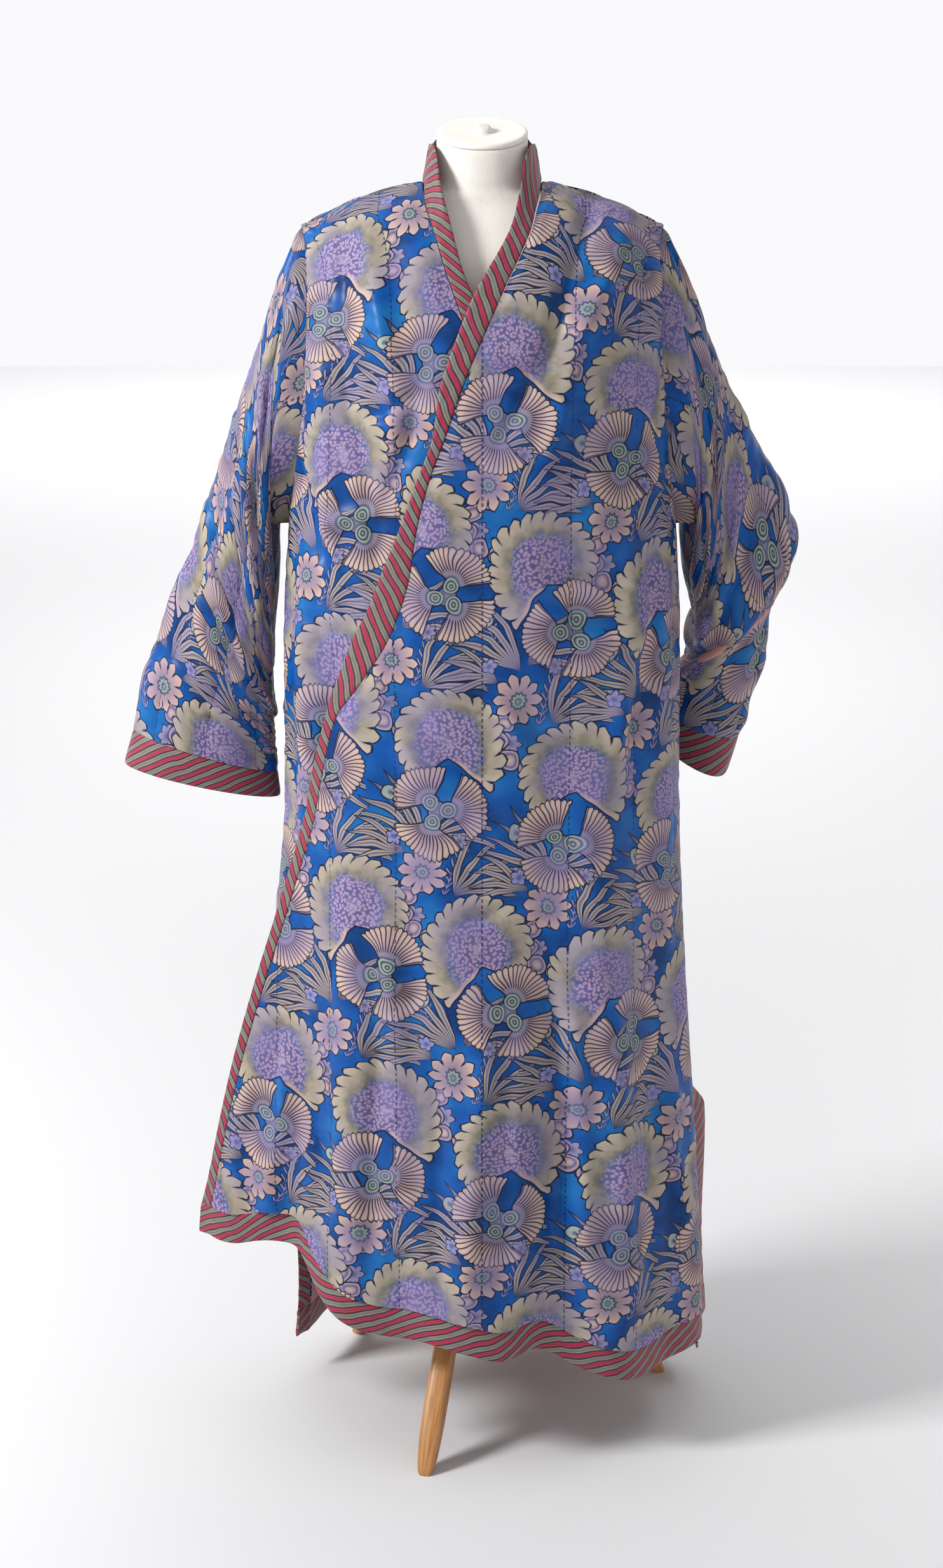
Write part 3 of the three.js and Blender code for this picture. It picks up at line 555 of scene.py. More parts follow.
def cellAt(tree, u, v, across, down, height):
    # mm across and down from the middle of one motif, within its cell of the repeat
    width = brocade["column"]
    x = addNode(tree, "Math", u, -across, operation="ADD")
    column = addNode(tree, "Math", x, 1 / width, operation="MULTIPLY")
    column = addNode(tree, "Math", column, operation="ROUND")
    x = addNode(tree, "Math", x, width / 2, -width / 2, operation="WRAP")
    y = addNode(tree, "Math", column, -brocade["drop"], v, operation="MULTIPLY_ADD")
    y = addNode(tree, "Math", y, -down, operation="ADD")
    return x, addNode(tree, "Math", y, height / 2, -height / 2, operation="WRAP")


def polar(tree, x, y):
    # angle 0 is down the cloth, a quarter turn is to the right
    flat = addNode(tree, "CombineXYZ", x, y)
    radius = addNode(tree, "VectorMath", flat, operation="LENGTH", output=1)
    angle = addNode(tree, "Math", x, y, operation="ARCTAN2")
    return radius, angle


def motifAt(tree, u, v, across, down):
    x, y = cellAt(tree, u, v, across, down, brocade["repeat"])
    return x, y, *polar(tree, x, y)


def mirroredAt(tree, u, v, across, down):
    # as motifAt, but every second one down a column is mirrored
    height = brocade["repeat"]
    x, y = cellAt(tree, u, v, across, down, 2 * height)
    otherX, otherY = cellAt(tree, u, v, -across, down + height, 2 * height)
    near, _ = polar(tree, x, y)
    far, _ = polar(tree, otherX, otherY)
    swap = addNode(tree, "Math", far, near, operation="LESS_THAN")
    both = addNode(tree, "Math", x, otherX, operation="ADD")
    both = addNode(tree, "Math", both, swap, operation="MULTIPLY")
    x = addNode(tree, "Math", x, both, operation="SUBTRACT")
    off = addNode(tree, "Math", otherY, y, operation="SUBTRACT")
    y = addNode(tree, "Math", off, swap, y, operation="MULTIPLY_ADD")
    return x, y, *polar(tree, x, y)


def petalWave(tree, angle, radius, count, lean):
    # 0 between two petals, 0.5 at the middle of one; lean slants them as they go out
    turn = addNode(tree, "Math", angle, count / (2 * math.pi), 0.25, operation="MULTIPLY_ADD")
    turn = addNode(tree, "Math", radius, lean, turn, operation="MULTIPLY_ADD")
    return addNode(tree, "Math", turn, 0.5, operation="PINGPONG")


def petalShape(tree, radius, wave, reach, scallop, count, strokeFrom, strokeTo, stroke):
    # signed distance in mm of a petalled disc, with ink strokes between its petals
    tip = addNode(tree, "Math", wave, 0.5, operation="POWER")
    edge = addNode(tree, "Math", tip, scallop * 1.414, reach, operation="MULTIPLY_ADD")
    outside = addNode(tree, "Math", radius, edge, operation="SUBTRACT")
    gap = addNode(tree, "Math", wave, radius, operation="MULTIPLY")
    line = addNode(tree, "MapRange", radius, strokeFrom, strokeTo, -1.5, stroke)
    line = addNode(tree, "Math", gap, -2 * math.pi / count, line, operation="MULTIPLY_ADD")
    return addNode(tree, "Math", outside, line, operation="MAXIMUM")


def paint(tree, under, covered, distance, fill, halo=1.7):
    # lays a motif over the cloth with an ink outline; covered gathers where figures are
    ink = addNode(tree, "MapRange", distance, -0.75, 0.1, 0.0, 1.0)
    colour = addNode(tree, "MixRGB", ink, fill, linear(brocade["ink"]))
    cover = addNode(tree, "MapRange", distance, halo, halo - 0.7, 0.0, 1.0)
    inside = addNode(tree, "MapRange", distance, 0.3, -0.4, 0.0, 1.0)
    return (
        addNode(tree, "MixRGB", cover, under, colour),
        addNode(tree, "Math", covered, inside, operation="MAXIMUM"),
    )


def featherFlower(tree, u, v, under, covered):
    # a large comma-shaped flower: slanting straw petals round a stippled lilac heart, open at its lower right
    x, y, radius, angle = mirroredAt(tree, u, v, 0, 0)
    tail = addNode(tree, "Math", angle, 0.55, operation="ADD")
    tail = addNode(tree, "Math", tail, operation="COSINE")
    tail = addNode(tree, "Math", tail, 0.0, operation="MAXIMUM")
    tail = addNode(tree, "Math", tail, 5.0, operation="POWER")
    stretch = addNode(tree, "Math", tail, -0.2, 1.0, operation="MULTIPLY_ADD")
    radius = addNode(tree, "Math", radius, stretch, operation="MULTIPLY")
    wave = petalWave(tree, angle, radius, 24, 0.045)
    distance = petalShape(tree, radius, wave, 51, 5.5, 24, 40, 51, 0.9)
    lower = addNode(tree, "Math", x, -0.3, y, operation="MULTIPLY_ADD")
    lower = addNode(tree, "Math", lower, -19.0, operation="ADD")
    side = addNode(tree, "Math", x, 1.1, y, operation="MULTIPLY_ADD")
    side = addNode(tree, "Math", side, 0.67, -13.0, operation="MULTIPLY_ADD")
    wedge = addNode(tree, "Math", lower, side, operation="MINIMUM")
    distance = addNode(tree, "Math", distance, wedge, operation="MAXIMUM")
    uneven = addNode(tree, "CombineXYZ", u, v)
    uneven = addNode(tree, "TexNoise", uneven, None, 0.09, 2.0, noise_dimensions="2D")
    heart = addNode(tree, "Math", uneven, 16.0, radius, operation="MULTIPLY_ADD")
    heart = addNode(tree, "MapRange", heart, 8.0, 66.0, 0.0, 1.0)
    fill = setStops(addNode(tree, "ValToRGB", heart), [
        (0.0, brocade["lilac"]), (0.15, brocade["violet"]), (0.4, 0x5B548A), (0.53, brocade["slate"]),
        (0.63, 0x7A7568), (0.74, brocade["straw"]), (1.0, brocade["strawPale"]),
    ])
    cells = addNode(tree, "CombineXYZ", u, v)
    dots = addNode(tree, "TexVoronoi", cells, None, 0.27, voronoi_dimensions="2D")
    dots = addNode(tree, "MapRange", dots, 0.55, 0.25, 0.0, 1.0)
    within = addNode(tree, "MapRange", radius, 37.0, 27.0, 0.0, 0.95)
    dots = addNode(tree, "Math", dots, within, operation="MULTIPLY")
    fill = addNode(tree, "MixRGB", dots, fill, linear(0xA08AA4))
    rim = addNode(tree, "MapRange", side, -6.0, -2.0, 0.0, 1.0)
    within = addNode(tree, "MapRange", x, -4.0, -9.0, 0.0, 0.8)
    rim = addNode(tree, "Math", rim, within, operation="MULTIPLY")
    fill = addNode(tree, "MixRGB", rim, fill, linear(brocade["rosePale"]))
    return paint(tree, under, covered, distance, fill)


def threeFans(tree, u, v, under, covered):
    # three ribbed fans on ringed eyes, which meet at a small disc
    _, _, radius, angle = mirroredAt(tree, u, v, 20, 72)
    angle = addNode(tree, "Math", angle, -0.5, operation="ADD")
    angle = addNode(tree, "Math", angle, math.pi / 3, -math.pi / 3, operation="WRAP")
    sine = addNode(tree, "Math", angle, operation="SINE")
    cosine = addNode(tree, "Math", angle, operation="COSINE")
    y = addNode(tree, "Math", radius, sine, operation="MULTIPLY")
    x = addNode(tree, "Math", radius, cosine, -12.0, operation="MULTIPLY_ADD")
    fanRadius, fanAngle = polar(tree, y, x)
    wave = petalWave(tree, fanAngle, fanRadius, 42, 0)
    fan = petalShape(tree, fanRadius, wave, 36, 3.6, 42, 8, 16, 0.3)
    side = addNode(tree, "Math", fanAngle, operation="ABSOLUTE")
    side = addNode(tree, "Math", side, -1.12, operation="ADD")
    side = addNode(tree, "Math", side, fanRadius, operation="MULTIPLY")
    fan = addNode(tree, "Math", fan, side, operation="MAXIMUM")
    eye = addNode(tree, "Math", fanRadius, -8.5, operation="ADD")
    disc = addNode(tree, "Math", radius, -10.0, operation="ADD")
    distance = addNode(tree, "Math", fan, eye, operation="MINIMUM")
    distance = addNode(tree, "Math", distance, disc, operation="MINIMUM")
    shade = addNode(tree, "MapRange", fanRadius, 0.0, 40.0, 0.0, 1.0)
    fill = setStops(addNode(tree, "ValToRGB", shade), [
        (0.0, brocade["celadon"]), (0.05, brocade["ink"]), (0.09, brocade["celadon"]), (0.14, brocade["ink"]),
        (0.18, 0x94A295), (0.23, 0x394063), (0.27, 0x77728A), (0.5, brocade["rose"]),
        (0.85, brocade["rosePale"]),
        (1.0, 0xB59C8B),
    ])
    return paint(tree, under, covered, distance, fill)


def peony(tree, u, v, under, covered, across, down, reach, count):
    # an open flower with pointed petals and pale stamens
    _, _, radius, angle = motifAt(tree, u, v, across, down)
    wave = petalWave(tree, angle, radius, count, 0)
    distance = petalShape(
        tree, radius, wave, reach * 0.66, reach * 0.34, count, reach * 0.3, reach * 0.7, 0.9,
    )
    shade = addNode(tree, "Math", wave, -0.16, 0.08, operation="MULTIPLY_ADD")
    shade = addNode(tree, "Math", radius, 1 / reach, shade, operation="MULTIPLY_ADD")
    fill = setStops(addNode(tree, "ValToRGB", shade), [
        (0.0, 0xA2AA9A), (0.14, 0x37456C), (0.22, brocade["celadon"]), (0.32, brocade["ink"]),
        (0.38, 0x85778E),
        (0.65, brocade["rose"]), (1.0, brocade["rosePale"]),
    ])
    return paint(tree, under, covered, distance, fill)


def bud(tree, u, v, under, covered, across, down, reach, fill, count=0):
    # a round bud, or a little star of a floret where count is given
    _, _, radius, angle = motifAt(tree, u, v, across, down)
    if count:
        wave = petalWave(tree, angle, radius, count, 0)
        distance = petalShape(
            tree, radius, wave, reach * 0.45, reach * 0.55, count, reach * 0.2, reach * 0.8, 0.6,
        )
    else:
        distance = addNode(tree, "Math", radius, -reach, operation="ADD")
    inner = addNode(tree, "MapRange", radius, reach * 0.15, reach * 0.5, 0.0, 1.0)
    colour = addNode(tree, "MixRGB", inner, linear(0x57587E), linear(fill))
    return paint(tree, under, covered, distance, colour, 1.4)


def leafSpray(tree, u, v, under, covered, across, down, turn, count, curl, spread=0.36, reach=31.0, wide=3.2):
    # long narrow leaves that curve out from one point; turn is the middle leaf's direction
    _, _, radius, angle = motifAt(tree, u, v, across, down)
    angle = addNode(tree, "Math", angle, -turn, operation="ADD")
    angle = addNode(tree, "Math", angle, math.pi, -math.pi, operation="WRAP")
    angle = addNode(tree, "Math", radius, -curl, angle, operation="MULTIPLY_ADD")
    leaf = addNode(tree, "Math", angle, 1 / spread, 0.5 * (count % 2), operation="MULTIPLY_ADD")
    wave = addNode(tree, "Math", leaf, 0.5, operation="PINGPONG")
    off = addNode(tree, "Math", wave, -spread, 0.5 * spread, operation="MULTIPLY_ADD")
    off = addNode(tree, "Math", off, radius, operation="MULTIPLY")
    along = addNode(tree, "Math", radius, 1 / reach, -1.0, operation="MULTIPLY_ADD")
    along = addNode(tree, "Math", along, along, operation="MULTIPLY")
    narrow = addNode(tree, "Math", along, wide, -wide, operation="MULTIPLY_ADD")
    distance = addNode(tree, "Math", off, narrow, operation="ADD")
    outer = addNode(tree, "Math", angle, operation="ABSOLUTE")
    outer = addNode(tree, "Math", outer, 25.0, -25.0 * spread * count / 2, operation="MULTIPLY_ADD")
    distance = addNode(tree, "Math", distance, outer, operation="MAXIMUM")
    shade = addNode(tree, "MapRange", off, 0.0, 1.6, 0.0, 1.0)
    fill = addNode(tree, "MixRGB", shade, linear(0x52567B), linear(0xA19388))
    return paint(tree, under, covered, distance, fill, 1.3)


def berries(tree, u, v, under, covered, across, down, middle):
    # a string of rounded berries along an arc
    _, _, radius, angle = motifAt(tree, u, v, across, down)
    count, ring, berry = 9, 29.0, 9.6
    angle = addNode(tree, "Math", angle, -middle, operation="ADD")
    angle = addNode(tree, "Math", angle, math.pi, -math.pi, operation="WRAP")
    wave = addNode(tree, "Math", angle, count / (2 * math.pi), 0.5, operation="MULTIPLY_ADD")
    wave = addNode(tree, "Math", wave, 0.5, operation="PINGPONG")
    along = addNode(tree, "Math", wave, -2 * math.pi * ring / count, math.pi * ring / count,
                    operation="MULTIPLY_ADD")
    off = addNode(tree, "Math", radius, -ring, operation="ADD")
    near, _ = polar(tree, along, off)
    distance = addNode(tree, "Math", near, -berry, operation="ADD")
    outer = addNode(tree, "Math", angle, operation="ABSOLUTE")
    outer = addNode(tree, "Math", outer, ring, -ring * 1.7, operation="MULTIPLY_ADD")
    distance = addNode(tree, "Math", distance, outer, operation="MAXIMUM")
    shade = addNode(tree, "MapRange", near, 0.0, berry, 0.0, 1.0)
    fill = setStops(addNode(tree, "ValToRGB", shade), [
        (0.0, brocade["rosePale"]), (0.4, brocade["rose"]), (0.62, brocade["violet"]), (0.78, 0x857794),
        (1.0, brocade["rosePale"]),
    ])
    return paint(tree, under, covered, distance, fill)


def sprig(tree, u, v, under, covered, across, down, length, slant):
    # a fine branch with paired leaflets
    x, y = cellAt(tree, u, v, across, down, brocade["repeat"])
    x = addNode(tree, "Math", y, slant, x, operation="MULTIPLY_ADD")
    side = addNode(tree, "Math", x, operation="ABSOLUTE")
    wave = addNode(tree, "Math", side, 1.3, y, operation="MULTIPLY_ADD")
    wave = addNode(tree, "Math", wave, 1 / 7, operation="MULTIPLY")
    wave = addNode(tree, "Math", wave, 0.5, operation="PINGPONG")
    leaflet = addNode(tree, "Math", wave, -6.0, 1.9, operation="MULTIPLY_ADD")
    stalk = addNode(tree, "Math", side, -0.7, operation="ADD")
    taper = addNode(tree, "MapRange", y, -length / 2, length / 2, -9.5, -4.0)
    within = addNode(tree, "Math", side, taper, operation="ADD")
    leaflet = addNode(tree, "Math", leaflet, within, operation="MAXIMUM")
    distance = addNode(tree, "Math", leaflet, stalk, operation="MINIMUM")
    ends = addNode(tree, "Math", y, operation="ABSOLUTE")
    ends = addNode(tree, "Math", ends, -length / 2, operation="ADD")
    distance = addNode(tree, "Math", distance, ends, operation="MAXIMUM")
    return paint(tree, under, covered, distance, linear(brocade["lavender"]), 1.0)


def quiltStitches(tree):
    # short stitches along the lines of quilting; the second UV counts channels across and metres down
    quilt = addNode(tree, "SeparateXYZ", addNode(tree, "UVMap", uv_map="quilt"))
    down = addNode(tree, "Math", quilt.node.outputs[1], 1000, operation="MULTIPLY")
    line = addNode(tree, "Math", quilt, 0.5, operation="PINGPONG")
    dash = addNode(tree, "Math", down, brocade["stitch"] / 2, operation="PINGPONG")
    dash = addNode(tree, "Math", dash, brocade["stitch"] * 0.2, operation="GREATER_THAN")
    near = addNode(tree, "MapRange", line, 0.012, 0.006, 0.0, 1.0)
    gather = addNode(tree, "MapRange", line, 0.22, 0.0, 0.25, 1.0)
    return addNode(tree, "Math", near, dash, operation="MULTIPLY"), gather, near


def buildBrocade():
    # silk brocade: glossy satin ground, with duller figures of floating wefts
    material, tree, surface = newMaterial("silk brocade, flowered satin")
    where = addNode(tree, "UVMap", uv_map="cloth")
    where = addNode(tree, "VectorMath", where, (1000, 1000, 0), operation="MULTIPLY")
    drift = addNode(tree, "TexNoise", where, None, 0.03, 1.0, output=1, noise_dimensions="2D")
    drift = addNode(tree, "VectorMath", drift, (-0.5, -0.5, -0.5), operation="ADD")
    warped = addNode(tree, "VectorMath", drift, (9, 9, 0), where, operation="MULTIPLY_ADD")
    u = addNode(tree, "SeparateXYZ", warped)
    v = u.node.outputs[1]
    # the satin ground in broad random patches, painted darker as shade and lighter as sheen
    fade = addNode(tree, "TexNoise", where, None, 0.014, 3.0, noise_dimensions="2D")
    ground = setStops(addNode(tree, "ValToRGB", fade), [
        (0.3, brocade["groundShade"]), (0.5, brocade["ground"]), (0.72, brocade["groundPaintedSheen"]),
    ])
    cloth, covered = ground, 0.0
    cloth, covered = sprig(tree, u, v, cloth, covered, -10, 128, 62, 0.55)
    cloth, covered = sprig(tree, u, v, cloth, covered, 58, 122, 46, -0.15)
    cloth, covered = leafSpray(tree, u, v, cloth, covered, -15, -58, 2.45, 5, -0.006, 0.34, 36.0)
    cloth, covered = leafSpray(tree, u, v, cloth, covered, -30, 100, 2.25, 4, -0.007, 0.34, 38.0)
    cloth, covered = leafSpray(tree, u, v, cloth, covered, -38, 104, -2.65, 5, 0.004, 0.24, 42.0)
    cloth, covered = leafSpray(tree, u, v, cloth, covered, 58, 168, -2.3, 4, 0.006, 0.3, 31.0)
    cloth, covered = bud(tree, u, v, cloth, covered, -58, -44, 11, brocade["lilac"], 6)
    cloth, covered = berries(tree, u, v, cloth, covered, -40, -46, -1.57)
    cloth, covered = bud(tree, u, v, cloth, covered, -4, 106, 9, brocade["lilac"], 7)
    cloth, covered = bud(tree, u, v, cloth, covered, 52, 150, 9, brocade["lavender"], 5)
    cloth, covered = bud(tree, u, v, cloth, covered, -66, 48, 8, brocade["celadon"])
    cloth, covered = peony(tree, u, v, cloth, covered, -44, 132, 26, 10)
    cloth, covered = featherFlower(tree, u, v, cloth, covered)
    cloth, covered = threeFans(tree, u, v, cloth, covered)
    # the figures are dyed unevenly, some of them lilac
    tint = addNode(tree, "TexNoise", where, None, 0.017, 1.0, noise_dimensions="2D")
    tint = addNode(tree, "MapRange", tint, 0.45, 0.62, 0.0, 0.35)
    tint = addNode(tree, "Math", tint, covered, operation="MULTIPLY")
    cloth = addNode(tree, "MixRGB", tint, cloth, linear(0x7A73A4))
    stitch, gather, groove = quiltStitches(tree)
    thread = addNode(tree, "Math", stitch, 0.75, operation="MULTIPLY")
    cloth = addNode(tree, "MixRGB", thread, cloth, linear(0x162450))
    tree.links.new(cloth, surface.inputs["Base Color"])
    rough = addNode(tree, "MapRange", covered, 0.0, 1.0, 0.36, 0.55)
    tree.links.new(rough, surface.inputs["Roughness"])
    surface.inputs["Specular IOR Level"].default_value = 0.18
    # weft threads, stitches, and fine creases that the quilting draws across each channel
    down = addNode(tree, "SeparateXYZ", where, output=1)
    threads = addNode(tree, "Math", down, 2 * math.pi / brocade["threads"], operation="MULTIPLY")
    threads = addNode(tree, "Math", threads, operation="SINE")
    stretched = addNode(tree, "VectorMath", where, (0.35, 1, 0), operation="MULTIPLY")
    creases = addNode(tree, "TexNoise", stretched, None, 0.075, 3.0, 0.6, noise_dimensions="2D")
    height = addNode(tree, "Math", creases, gather, operation="MULTIPLY")
    height = addNode(tree, "Math", height, 1.3, operation="MULTIPLY")
    height = addNode(tree, "Math", threads, 0.02, height, operation="MULTIPLY_ADD")
    height = addNode(tree, "Math", groove, -0.5, height, operation="MULTIPLY_ADD")
    height = addNode(tree, "Math", stitch, 0.35, height, operation="MULTIPLY_ADD")
    relief = tree.nodes.new("ShaderNodeBump")
    relief.inputs["Strength"].default_value = 0.3
    relief.inputs["Distance"].default_value = 0.001
    tree.links.new(height, relief.inputs["Height"])
    tree.links.new(relief.outputs[0], surface.inputs["Normal"])
    return material


edging = {
    "period": 11.3,
    "crimson": 0xA8103C,
    "crimsonDark": 0x4E0C28,
    "black": 0x17161F,
    "khaki": 0x7B766B,
    "khakiDark": 0x4E5350,
}


def buildEdging(name, angle, seed=0.0):
    # plain-woven warp stripes cut on the bias; angle is between the stripes and the strip
    material, tree, surface = newMaterial(name)
    where = addNode(tree, "UVMap", uv_map="cloth")
    where = addNode(tree, "VectorMath", where, (1000, 1000, 0), operation="MULTIPLY")
    drift = addNode(tree, "TexNoise", where, None, 0.02, 2.0, output=1)
    drift = addNode(tree, "VectorMath", drift, (-0.5, -0.5, -0.5), operation="ADD")
    warped = addNode(tree, "VectorMath", drift, (9, 9, 0), where, operation="MULTIPLY_ADD")
    turn = angle * degrees
    across = addNode(tree, "VectorMath", warped, (math.sin(turn), math.cos(turn), 0), operation="DOT_PRODUCT",
                     output=1)
    place = addNode(tree, "Math", across, 1 / edging["period"], seed, operation="MULTIPLY_ADD")
    place = addNode(tree, "Math", place, operation="FRACT")
    stripes = setStops(addNode(tree, "ValToRGB", place), [
        (0.0, edging["black"]), (0.06, edging["black"]), (0.09, edging["crimson"]), (0.19, edging["crimson"]),
        (0.22, edging["crimsonDark"]), (0.26, edging["crimson"]), (0.38, edging["crimson"]),
        (0.42, edging["black"]), (0.53, edging["black"]), (0.57, edging["khaki"]), (0.67, edging["khaki"]),
        (0.73, edging["khakiDark"]), (0.79, edging["khaki"]), (0.93, edging["khaki"]),
        (0.97, edging["black"]),
    ])
    worn = addNode(tree, "TexNoise", where, None, 0.05, 3.0)
    worn = addNode(tree, "MapRange", worn, 0.4, 0.75, 0.0, 0.28)
    stripes = addNode(tree, "MixRGB", worn, stripes, linear(0x5A3C48))
    tree.links.new(stripes, surface.inputs["Base Color"])
    surface.inputs["Roughness"].default_value = 0.62
    surface.inputs["Sheen Weight"].default_value = 0.15
    weave = addNode(tree, "TexNoise", where, None, 0.9, 2.0)
    creases = addNode(tree, "TexNoise", where, None, 0.09, 3.0)
    height = addNode(tree, "Math", creases, 5.0, weave, operation="MULTIPLY_ADD")
    relief = tree.nodes.new("ShaderNodeBump")
    relief.inputs["Strength"].default_value = 0.5
    relief.inputs["Distance"].default_value = 0.0004
    tree.links.new(height, relief.inputs["Height"])
    tree.links.new(relief.outputs[0], surface.inputs["Normal"])
    return material


def buildLining():
    # plain cotton lining, salmon pink, soft and matt
    material, tree, surface = newMaterial("salmon cotton lining")
    where = addNode(tree, "UVMap", uv_map="cloth")
    where = addNode(tree, "VectorMath", where, (1000, 1000, 0), operation="MULTIPLY")
    tone = addNode(tree, "TexNoise", where, None, 0.03, 4.0)
    colour = addNode(tree, "MixRGB", tone, linear(0xA86A64), linear(0xD09A90))
    tree.links.new(colour, surface.inputs["Base Color"])
    surface.inputs["Roughness"].default_value = 0.85
    surface.inputs["Sheen Weight"].default_value = 0.2
    weave = addNode(tree, "TexNoise", where, None, 1.1, 2.0)
    relief = tree.nodes.new("ShaderNodeBump")
    relief.inputs["Strength"].default_value = 0.4
    relief.inputs["Distance"].default_value = 0.0003
    tree.links.new(weave, relief.inputs["Height"])
    tree.links.new(relief.outputs[0], surface.inputs["Normal"])
    return material


silk = buildBrocade()
lining = buildLining()
print("brocade and lining ready")

panels = {
    "rows": 320,
    "columns": 140,
    "backColumns": 148,
    "leftGrain": 8,  # degrees; the left front is cut a little off the straight
    "leftOffset": (0, 0),
    "rightOffset": (30, 60),
    "backOffset": (10, 20),
}


# creases, as seen from the front: x and z of both ends, width and height in mm
leftCreaseLines = [
    (71, 560, 80, 190, 9, -4), (96, 540, 112, 190, 13, 7), (40, 520, 47, 180, 14, 5),
    (-12, 180, -2, 520, 17, 7),
    (-40, 470, -52, 170, 9, -4), (-100, 850, 25, 735, 9, -4), (-72, 880, 60, 795, 12, 6),
    (-90, 800, 30, 690, 10, 4),
    (-120, 760, 10, 640, 8, -3), (114, 1330, 20, 1100, 9, -4), (140, 1310, 60, 1070, 13, 5),
    (193, 1050, 168, 820, 8, -4), (160, 1010, 130, 740, 13, 6), (188, 900, 150, 760, 9, -3),
    (185, 1200, 189, 1050, 8, -4), (178, 450, 186, 180, 9, -4), (150, 480, 158, 170, 14, 6),
    (205, 420, 214, 190, 10, 5), (-172, 420, -178, 250, 9, -5), (-205, 460, -222, 240, 13, 6),
    (-240, 400, -262, 240, 10, -4), (-118, 500, -120, 180, 9, -4), (-90, 640, -84, 240, 15, 6),
    (20, 1180, 120, 1130, 8, -3), (60, 980, 165, 930, 8, -3), (40, 930, 175, 890, 10, 4),
    (-20, 600, 60, 640, 8, -3),
    (30, 420, 140, 380, 7, -2), (-150, 560, -60, 520, 8, -3), (90, 700, 175, 650, 8, 3),
]
rightCreaseLines = [
    (-146, 1310, -112, 990, 9, -4), (-120, 1320, -80, 1080, 13, 5), (-170, 1200, -150, 900, 12, 5),
    (-60, 1180, -110, 960, 8, -3), (-185, 1080, -160, 960, 8, -4), (-180, 960, -190, 620, 12, 5),
    (-160, 880, -172, 560, 8, -4), (-200, 700, -205, 400, 10, 5), (-150, 1120, -60, 1150, 7, -3),
    (-165, 1000, -90, 1040, 9, 3),
]
backCreaseLines = [
    (-120, 1290, -60, 1000, 12, 5), (120, 1290, 70, 980, 12, 5), (-90, 1240, -40, 960, 8, -3),
    (95, 1230, 40, 940, 8, -3), (-170, 980, -120, 760, 10, 5), (170, 980, 130, 740, 10, 5),
    (-60, 900, 60, 870, 10, 4), (-80, 850, 50, 830, 8, -3), (0, 780, 10, 260, 13, 6),
    (-90, 700, -100, 200, 12, 6),
    (95, 720, 108, 200, 12, 6), (-50, 620, -56, 180, 8, -4), (52, 620, 58, 180, 8, -4),
    (150, 560, 165, 190, 9, -4),
    (-150, 560, -160, 190, 9, -4),
]


def creaseRelief(points, lines):
    # soft uneven troughs and ridges that fade out at both ends
    x, z = points[..., 0], points[..., 2]
    total = np.zeros(x.shape)
    for x0, z0, x1, z1, width, height in lines:
        length = math.hypot(x1 - x0, z1 - z0)
        dx, dz = (x1 - x0) / length, (z1 - z0) / length
        along = ((x - x0) * dx + (z - z0) * dz) / length
        sway = 5 * np.sin(along * 4.1 + x0 * 0.13) + 2.5 * np.sin(along * 9.7 + z0 * 0.07)
        off = (z - z0) * dx - (x - x0) * dz + sway
        fade = smooth(-0.12, 0.25, along) * smooth(1.12, 0.75, along)
        total += height * bump(off, width) * fade * (0.8 + 0.2 * np.sin(along * 13 + x1))
    return total


def panelWall(name, places, wing, start, grain, offset, seed, lines):
    level, angle, lift = places
    across = quiltDistance(level, angle)
    column = np.arange(level.shape[1])
    edge = smooth(0, 6, np.minimum(column, column[::-1]))
    folds = robe["creaseDepth"] * creaseRelief(clothPoint(level, angle, lift, wing), lines) * edge
    relief = quiltRelief(across, robe["quiltSpacing"], robe["quiltRelief"])
    relief = relief + puckers(across + seed, level, robe["quiltSpacing"], robe["puckers"])
    folds = np.maximum(folds, -6)  # the under front lies close behind
    outer = clothPoint(level, angle, lift + folds + relief * edge, wing)
    inner = clothPoint(level, angle, lift + folds - robe["wall"], wing)
    uv = turned(arcLength(level, angle, start, wing), level, grain, offset)
    quilt = np.stack([across / robe["quiltSpacing"] * 1000, level], -1)
    return wallObject(name, outer, inner, uv, [silk, lining], quilt=quilt)


rowShares = np.linspace(0, 1, panels["rows"])
leftPlaces = frontPlaces(1, leftEdge, leftHemLevel, rowShares, np.linspace(0, 1, panels["columns"]), leftLift)
rightPlaces = frontPlaces(
    -1, rightEdge, lambda angle: robe["floor"] - robe["hemBand"] - robe["rightHem"], rowShares,
    np.linspace(0, 1, panels["columns"] // 2), lambda level, angle: 0 * level,
)
backs = backPlaces(rowShares, np.linspace(-1, 1, panels["backColumns"]))
leftFront = panelWall("left_front_silk", leftPlaces, True, 0, panels["leftGrain"], panels["leftOffset"], 0,
                      leftCreaseLines)
rightFront = panelWall("right_front_silk", rightPlaces, False, 0, 0, panels["rightOffset"], 300,
                       rightCreaseLines)
backPanel = panelWall("back_silk", backs, False, 180, 0, panels["backOffset"], 900, backCreaseLines)
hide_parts("left_front")
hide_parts("right_front")
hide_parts("back")
print("body panels ready")

bands = {
    "across": 10,
    "round": 6,  # exponent of the strip's section; larger is flatter with sharper edges
    "pucker": 0.9,
    "leftSlant": 38,  # degrees from the strip to its stripes
    "rightSlant": -38,
    "collarSlant": -68,
    "hemSlant": -27,
    "slitSlant": 55,
}


def acrossSteps(count):
    # closer together at both edges, where the strip turns over
    return (1 - np.cos(np.linspace(0, math.pi, count + 1))) / 2


